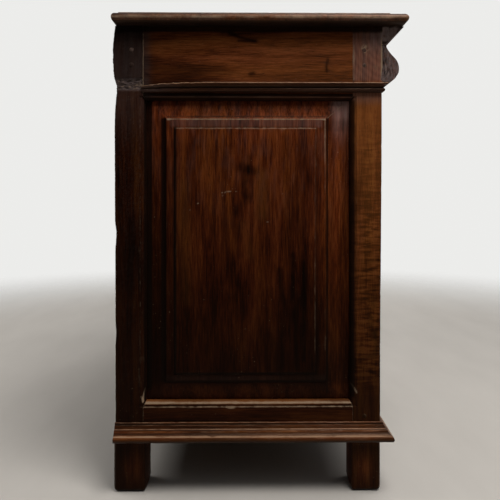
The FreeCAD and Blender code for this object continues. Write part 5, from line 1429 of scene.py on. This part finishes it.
def barrel(z0, z1, lo_tip, hi_tip):
    p = [(5.2, z0), (5.9, z0 + 0.35), (6.0, z0 + 1.0), (6.0, z1 - 1.0), (5.9, z1 - 0.35), (5.2, z1)]
    if lo_tip:
        p = [(0.4, z0 - 5.2), (2.0, z0 - 5.0), (3.3, z0 - 4.0), (3.6, z0 - 2.8), (3.0, z0 - 1.6), (2.6, z0 - 0.9), (4.6, z0 - 0.5)] + p
    if hi_tip:
        p = p + [(4.6, z1 + 0.5), (2.6, z1 + 0.9), (3.0, z1 + 1.6), (3.6, z1 + 2.8), (3.3, z1 + 4.0), (2.0, z1 + 5.0), (0.4, z1 + 5.2)]
    return lathe(p, 28, lambda a, b, h: xyz(BX + a, BY + b, h))


def leaf(x0, x1, z0, z1, seed):
    return board((x0, -221.6, z0 + 0.4), (x1, -196.2, z1 - 0.4), 0.7, (2, 3, 4), seed=seed)


post_parts, door_parts = [], []
for z in (225.0, 600.0):
    post_parts += [barrel(z, z + 19.7, True, False), barrel(z + 40.3, z + 60, False, True), leaf(-587, -584.5, z, z + 19.6, 3), leaf(-587, -584.5, z + 40.4, z + 60, 4),
                   board((-587, -217.6, z + 19.0), (-584.5, -196.2, z + 41.0), 0.3, (2, 3, 4), seed=5)]
    post_parts += [screw(lambda a, b, h, zz=zz, y=y: xyz(-584.5 + h, y + a, zz + b), 2.8) for zz, y in ((z + 9, -205), (z + 30, -209), (z + 51, -205))]
    door_parts += [barrel(z + 20.0, z + 40.0, False, False), board((-582.5, -221.6, z + 20.3), (-580, -196.2, z + 39.7), 0.7, (2, 3, 4), seed=6),
                   board((-582.5, -217.6, z + 0.4), (-580, -196.2, z + 59.6), 0.3, (2, 3, 4), seed=7)]
    door_parts += [screw(lambda a, b, h, zz=zz, y=y: xyz(-582.5 - h, y + a, zz + b), 2.8) for zz, y in ((z + 9, -205), (z + 30, -201), (z + 51, -205))]
both = [p for q in post_parts for p in (outward(*q), mirrored(outward(*q)))]
piece("hinge_post_halves_look", both, "hinge_post_halves", LOOK["iron"], grain="z", und=0.08, chip=0.1)


def key():
    shank = lathe([(0.5, 37.8), (2.2, 37.5), (2.8, 36.6), (2.8, 5.6), (3.4, 5.4), (4.3, 4.6), (4.4, 3.4), (3.6, 2.8), (3.2, 2.2), (4.2, 1.4), (4.4, 0.2), (3.5, -0.6), (2.9, -1.6), (2.7, -5.0),
                   (3.0, -10.0), (3.6, -14.2), (3.0, -17.0)], 20, lambda a, b, h: xyz(-70 + a, -218 + h, 436 + b))
    n, m = 40, 14
    A = np.linspace(0, 2 * math.pi, n, endpoint=False)
    B = np.linspace(0, 2 * math.pi, m, endpoint=False)
    a, b = np.meshgrid(A, B, indexing="ij")
    # an oval bow pinched where it meets the shank
    ry, rz = 10.0, 10.7
    pinch = 1 - 0.16 * np.exp(-((np.cos(a) - 1) / 0.35) ** 2)
    cy, cz = -247 + ry * np.cos(a), 436 + rz * np.sin(a) * pinch
    w = 2.3 + 0.5 * np.exp(-((np.cos(a) - 1) / 0.3) ** 2)
    y = cy + w * np.cos(b) * np.cos(a)
    z = cz + w * np.cos(b) * np.sin(a)
    x = -70 + 1.85 * np.sin(b)
    V = np.stack([x, y, z], -1).reshape(-1, 3)
    I, J = np.meshgrid(np.arange(n), np.arange(m), indexing="ij")
    Q = np.stack([I * m + J, ((I + 1) % n) * m + J, ((I + 1) % n) * m + (J + 1) % m, I * m + (J + 1) % m], -1).reshape(-1, 4)
    ring = (V, Q, [])
    bit = merged(board((-71.1, -189.4, 424.4), (-68.9, -186.6, 435), 0.4, 2.0, seed=2), board((-71.1, -185.4, 424.4), (-68.9, -182.4, 435), 0.4, 2.0, seed=3),
                 board((-71.1, -189.2, 428.8), (-68.9, -182.6, 435), 0.4, 2.0, seed=4))
    return [shank, ring, bit]


def key_plate():
    """A shaped plate with a keyhole, made as rings from its outline in to the hole."""
    n = 72
    a = np.linspace(0, 2 * math.pi, n, endpoint=False) + math.pi / 2
    w = 11.6 * (0.80 + 0.20 * np.cos(2 * (a - 0)) ** 2)
    hx = np.cos(a) * w
    hz = np.sin(a) * (21.6 - 1.6 * np.cos(4 * a) ** 2) - 0.0
    cz = 434.0
    out = np.stack([-70 + hx, cz + hz], -1)
    hole = []
    for t in a:
        c, s = math.cos(t), math.sin(t)
        # a round eye at the shank with a slot below
        best = 0.0
        for k in np.linspace(0, 16, 161):
            x, z = c * k, s * k - 2.0          # from the middle, which lies 2 mm below the eye's centre
            inside = (x * x + z * z < 3.6 ** 2) or (abs(x) < 1.7 and -12.4 < z < 0) or k < 1.0
            if inside:
                best = k
            else:
                break
        hole.append((-70 + c * best, 434.0 + s * best))
    hole = np.array(hole)
    R = []

    def ring(f, d):
        q = out + (hole - out) * f
        R.append(np.stack([q[:, 0], np.full(n, YF - d), q[:, 1]], -1))

    ring(0.0, 0.0)
    ring(0.0, 0.9)
    ring(0.02, 1.3)
    ring(0.06, 1.5)
    ring(0.18, 1.42)
    ring(0.23, 1.25)
    ring(0.27, 1.4)
    ring(0.6, 1.5)
    ring(0.94, 1.5)
    ring(1.0, 1.3)
    ring(1.0, -1.0)
    V, Q, P = tube(np.array(R))
    return V, Q, P


def lock_case():
    walls = (((-100, -192, 405), (-35, -190.2, 480)), ((-98.4, -178.8, 406.6), (-36.6, -177, 478.4)), ((-100, -190.4, 405), (-97.8, -178.6, 480)),
             ((-98, -190.4, 405), (-37, -178.6, 407.2)), ((-98, -190.4, 477.8), (-37, -178.6, 480)), ((-37.2, -190.4, 405), (-35, -178.6, 447.2)),
             ((-37.2, -190.4, 462.8), (-35, -178.6, 480)), ((-37.2, -190.4, 446.8), (-35, -189.5, 463.2)), ((-37.2, -180.4, 446.8), (-35, -178.6, 463.2)))
    parts = [board(lo, hi, 0.6, 4.0, seed=4 + i) for i, (lo, hi) in enumerate(walls)]
    parts += [screw(lambda a, b, h, x=x, z=z: xyz(x + a, -177 + h * 0.8, z + b), 3.0) for x, z in ((-93, 412), (-42, 412), (-93, 473), (-42, 473))]
    n = lathe([(4.6, -0.4), (4.6, 0.5), (4.1, 0.9), (3.4, 0.9), (3.1, 0.4), (3.1, -0.4), (0.4, -0.5)], 24, lambda a, b, h: xyz(-70 + a, -177 + h, 436 + b))
    return parts + [n]


def bolt():
    return [board((-92, -189, 448), (-35.5, -181, 462), 0.8, 3.0, seed=6), board((-74, -181.2, 450.5), (-66, -179.6, 459.5), 0.5, 2.0, seed=7)]


for left in (True, False):
    side = "left" if left else "right"
    d = side + "_door"
    fl = (lambda ps: [outward(*p) for p in ps]) if left else (lambda ps: [mirrored(outward(*p)) for p in ps])
    for node, part, g in ((d + "_hinge_stile", door_stile(True), "z"), (d + "_lock_stile", door_stile(False), "z"), (d + "_top_rail", door_rail(True), "x"),
                          (d + "_bottom_rail", door_rail(False), "x")):
        piece(node + "_look", fl([part]), node, LOOK["door_wood"], grain=g, und=0.35, wl=70, chip=0.7, paint=low_shade_and_grime, wear=0.45)
    piece(d + "_panel_look", fl([door_panel()]), d + "_panel", LOOK["panel_wood"], grain="z", und=0.45, wl=110, chip=0.5, paint=door_panel_paint)
    piece(d + "_hinges_look", fl(door_parts), d + "_hinges", LOOK["iron"], grain="z", und=0.08, chip=0.1)
    piece(d + "_lock_look", fl(lock_case()), d + "_lock", LOOK["iron"], grain="z", und=0.1, chip=0.15)
    piece(d + "_bolt_look", fl(bolt()), d + "_bolt", LOOK["iron"], grain="x", und=0.05, chip=0.1)
    piece(d + "_key_look", fl(key()), d + "_key", LOOK["iron"], grain="y", und=0.06, chip=0.1)
    piece(side + "_key_plate_look", fl([key_plate()]), side + "_key_plate", LOOK["brass"], grain="z", und=0.03, chip=0.08)


# ---------------------------------------------------------------- floor, light, camera
def floor():
    n = 40
    R = 9.0
    me = bpy.data.meshes.new("floor")
    a = np.linspace(0, 2 * math.pi, 64, endpoint=False)
    rad = np.concatenate([[0.05], np.linspace(0.3, 3, 12), [4, 6, R]])
    V = [(r * math.cos(t), r * math.sin(t), 0.0) for r in rad for t in a]
    F = [list(range(64))]
    for i in range(len(rad) - 1):
        for j in range(64):
            F.append([i * 64 + j, (i + 1) * 64 + j, (i + 1) * 64 + (j + 1) % 64, i * 64 + (j + 1) % 64])
    me.from_pydata(V, [], F)
    t = Tree("floor")
    tc = t.t.nodes.new("ShaderNodeTexCoord")
    grain = t.noise(tc.outputs["Object"], (3, 9, 9), 3.0, 0.55)
    t.put(t.bsdf.inputs["Base Color"], t.mix(grain, (0.52, 0.495, 0.462), (0.61, 0.582, 0.545)))
    t.bsdf.inputs["Roughness"].default_value = 0.62
    t.bsdf.inputs["Specular IOR Level"].default_value = 0.25
    length = t.t.nodes.new("ShaderNodeVectorMath")
    length.operation = "LENGTH"
    t.put(length.inputs[0], tc.outputs["Object"])
    fade = t.ramp(length.outputs["Value"], 1.25, 2.9)
    clear = t.t.nodes.new("ShaderNodeBsdfTransparent")
    mix = t.t.nodes.new("ShaderNodeMixShader")
    t.put(mix.inputs[0], fade)
    t.put(mix.inputs[1], t.bsdf.outputs[0])
    t.put(mix.inputs[2], clear.outputs[0])
    t.put(t.out.inputs[0], mix.outputs[0])
    me.materials.append(t.mat)
    ob = bpy.data.objects.new("floor", me)
    ob.location.z = -0.0005
    bpy.context.scene.collection.objects.link(ob)
    ob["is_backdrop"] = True


floor()

world = bpy.data.worlds.new("studio")
bpy.context.scene.world = world
world.use_nodes = True
wt = world.node_tree
wt.nodes.clear()
w_out = wt.nodes.new("ShaderNodeOutputWorld")
w_seen = wt.nodes.new("ShaderNodeBackground")
w_seen.inputs["Color"].default_value = (0.84, 0.84, 0.825, 1)
w_light = wt.nodes.new("ShaderNodeBackground")
w_mix = wt.nodes.new("ShaderNodeMixShader")
w_path = wt.nodes.new("ShaderNodeLightPath")
w_tc = wt.nodes.new("ShaderNodeTexCoord")
w_dot = wt.nodes.new("ShaderNodeVectorMath")
w_dot.operation = "DOT_PRODUCT"
w_dot.inputs[1].default_value = (0.12, -0.30, 0.95)
w_map = wt.nodes.new("ShaderNodeMapRange")
w_map.interpolation_type = "SMOOTHSTEP"
w_map.inputs["From Min"].default_value = 0.15
w_map.inputs["From Max"].default_value = 0.95
w_map.inputs["To Min"].default_value = 0.02
w_map.inputs["To Max"].default_value = 0.30
wt.links.new(w_tc.outputs["Generated"], w_dot.inputs[0])
wt.links.new(w_dot.outputs["Value"], w_map.inputs["Value"])
wt.links.new(w_map.outputs[0], w_light.inputs["Color"])
wt.links.new(w_path.outputs["Is Camera Ray"], w_mix.inputs[0])
wt.links.new(w_light.outputs[0], w_mix.inputs[1])
wt.links.new(w_seen.outputs[0], w_mix.inputs[2])
wt.links.new(w_mix.outputs[0], w_out.inputs[0])


def area(name, loc, at, size, power, colour=(1, 1, 1), beam=180):
    l = bpy.data.lights.new(name, "AREA")
    l.shape = "RECTANGLE"
    l.size, l.size_y = size
    l.energy = power
    l.color = colour
    l.spread = math.radians(beam)
    o = bpy.data.objects.new(name, l)
    o.location = loc
    o.rotation_euler = (Vector(at) - Vector(loc)).to_track_quat("-Z", "Y").to_euler()
    o.visible_camera = False
    bpy.context.scene.collection.objects.link(o)
    return o


area("key", (-1.30, -0.50, 2.30), (-0.70, -0.05, 0.60), (0.9, 0.9), 35, (1.0, 0.97, 0.93))
area("front", (0.5, -2.0, 2.4), (0.2, -0.2, 0.5), (1.6, 1.2), 14, (1.0, 0.98, 0.95))
area("far_end", (2.3, -0.3, 2.3), (0.65, 0.0, 0.5), (1.3, 1.2), 26, (1.0, 0.98, 0.95))
area("behind", (0.0, 2.0, 2.4), (-0.1, 0.3, 0.4), (1.6, 1.2), 22, (1.0, 0.98, 0.95))

cam = bpy.data.cameras.new("camera")
cam.sensor_width = 36.0
cam.lens = 41.18
cam.shift_x, cam.shift_y = -0.0046, -0.1046
cam.clip_start, cam.clip_end = 0.02, 60
co = bpy.data.objects.new("camera", cam)
co.location = (-1.7218, 0.0339, 0.5529)
co.rotation_euler = (math.radians(90 - 0.086), 0.0, math.radians(-90.575))
bpy.context.scene.collection.objects.link(co)
bpy.context.scene.camera = co
bpy.context.scene.view_settings.view_transform = "Standard"

lo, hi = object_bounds()
{"cad": [list(cad_box[0]), list(cad_box[1])], "visual": [list(lo), list(hi)]}
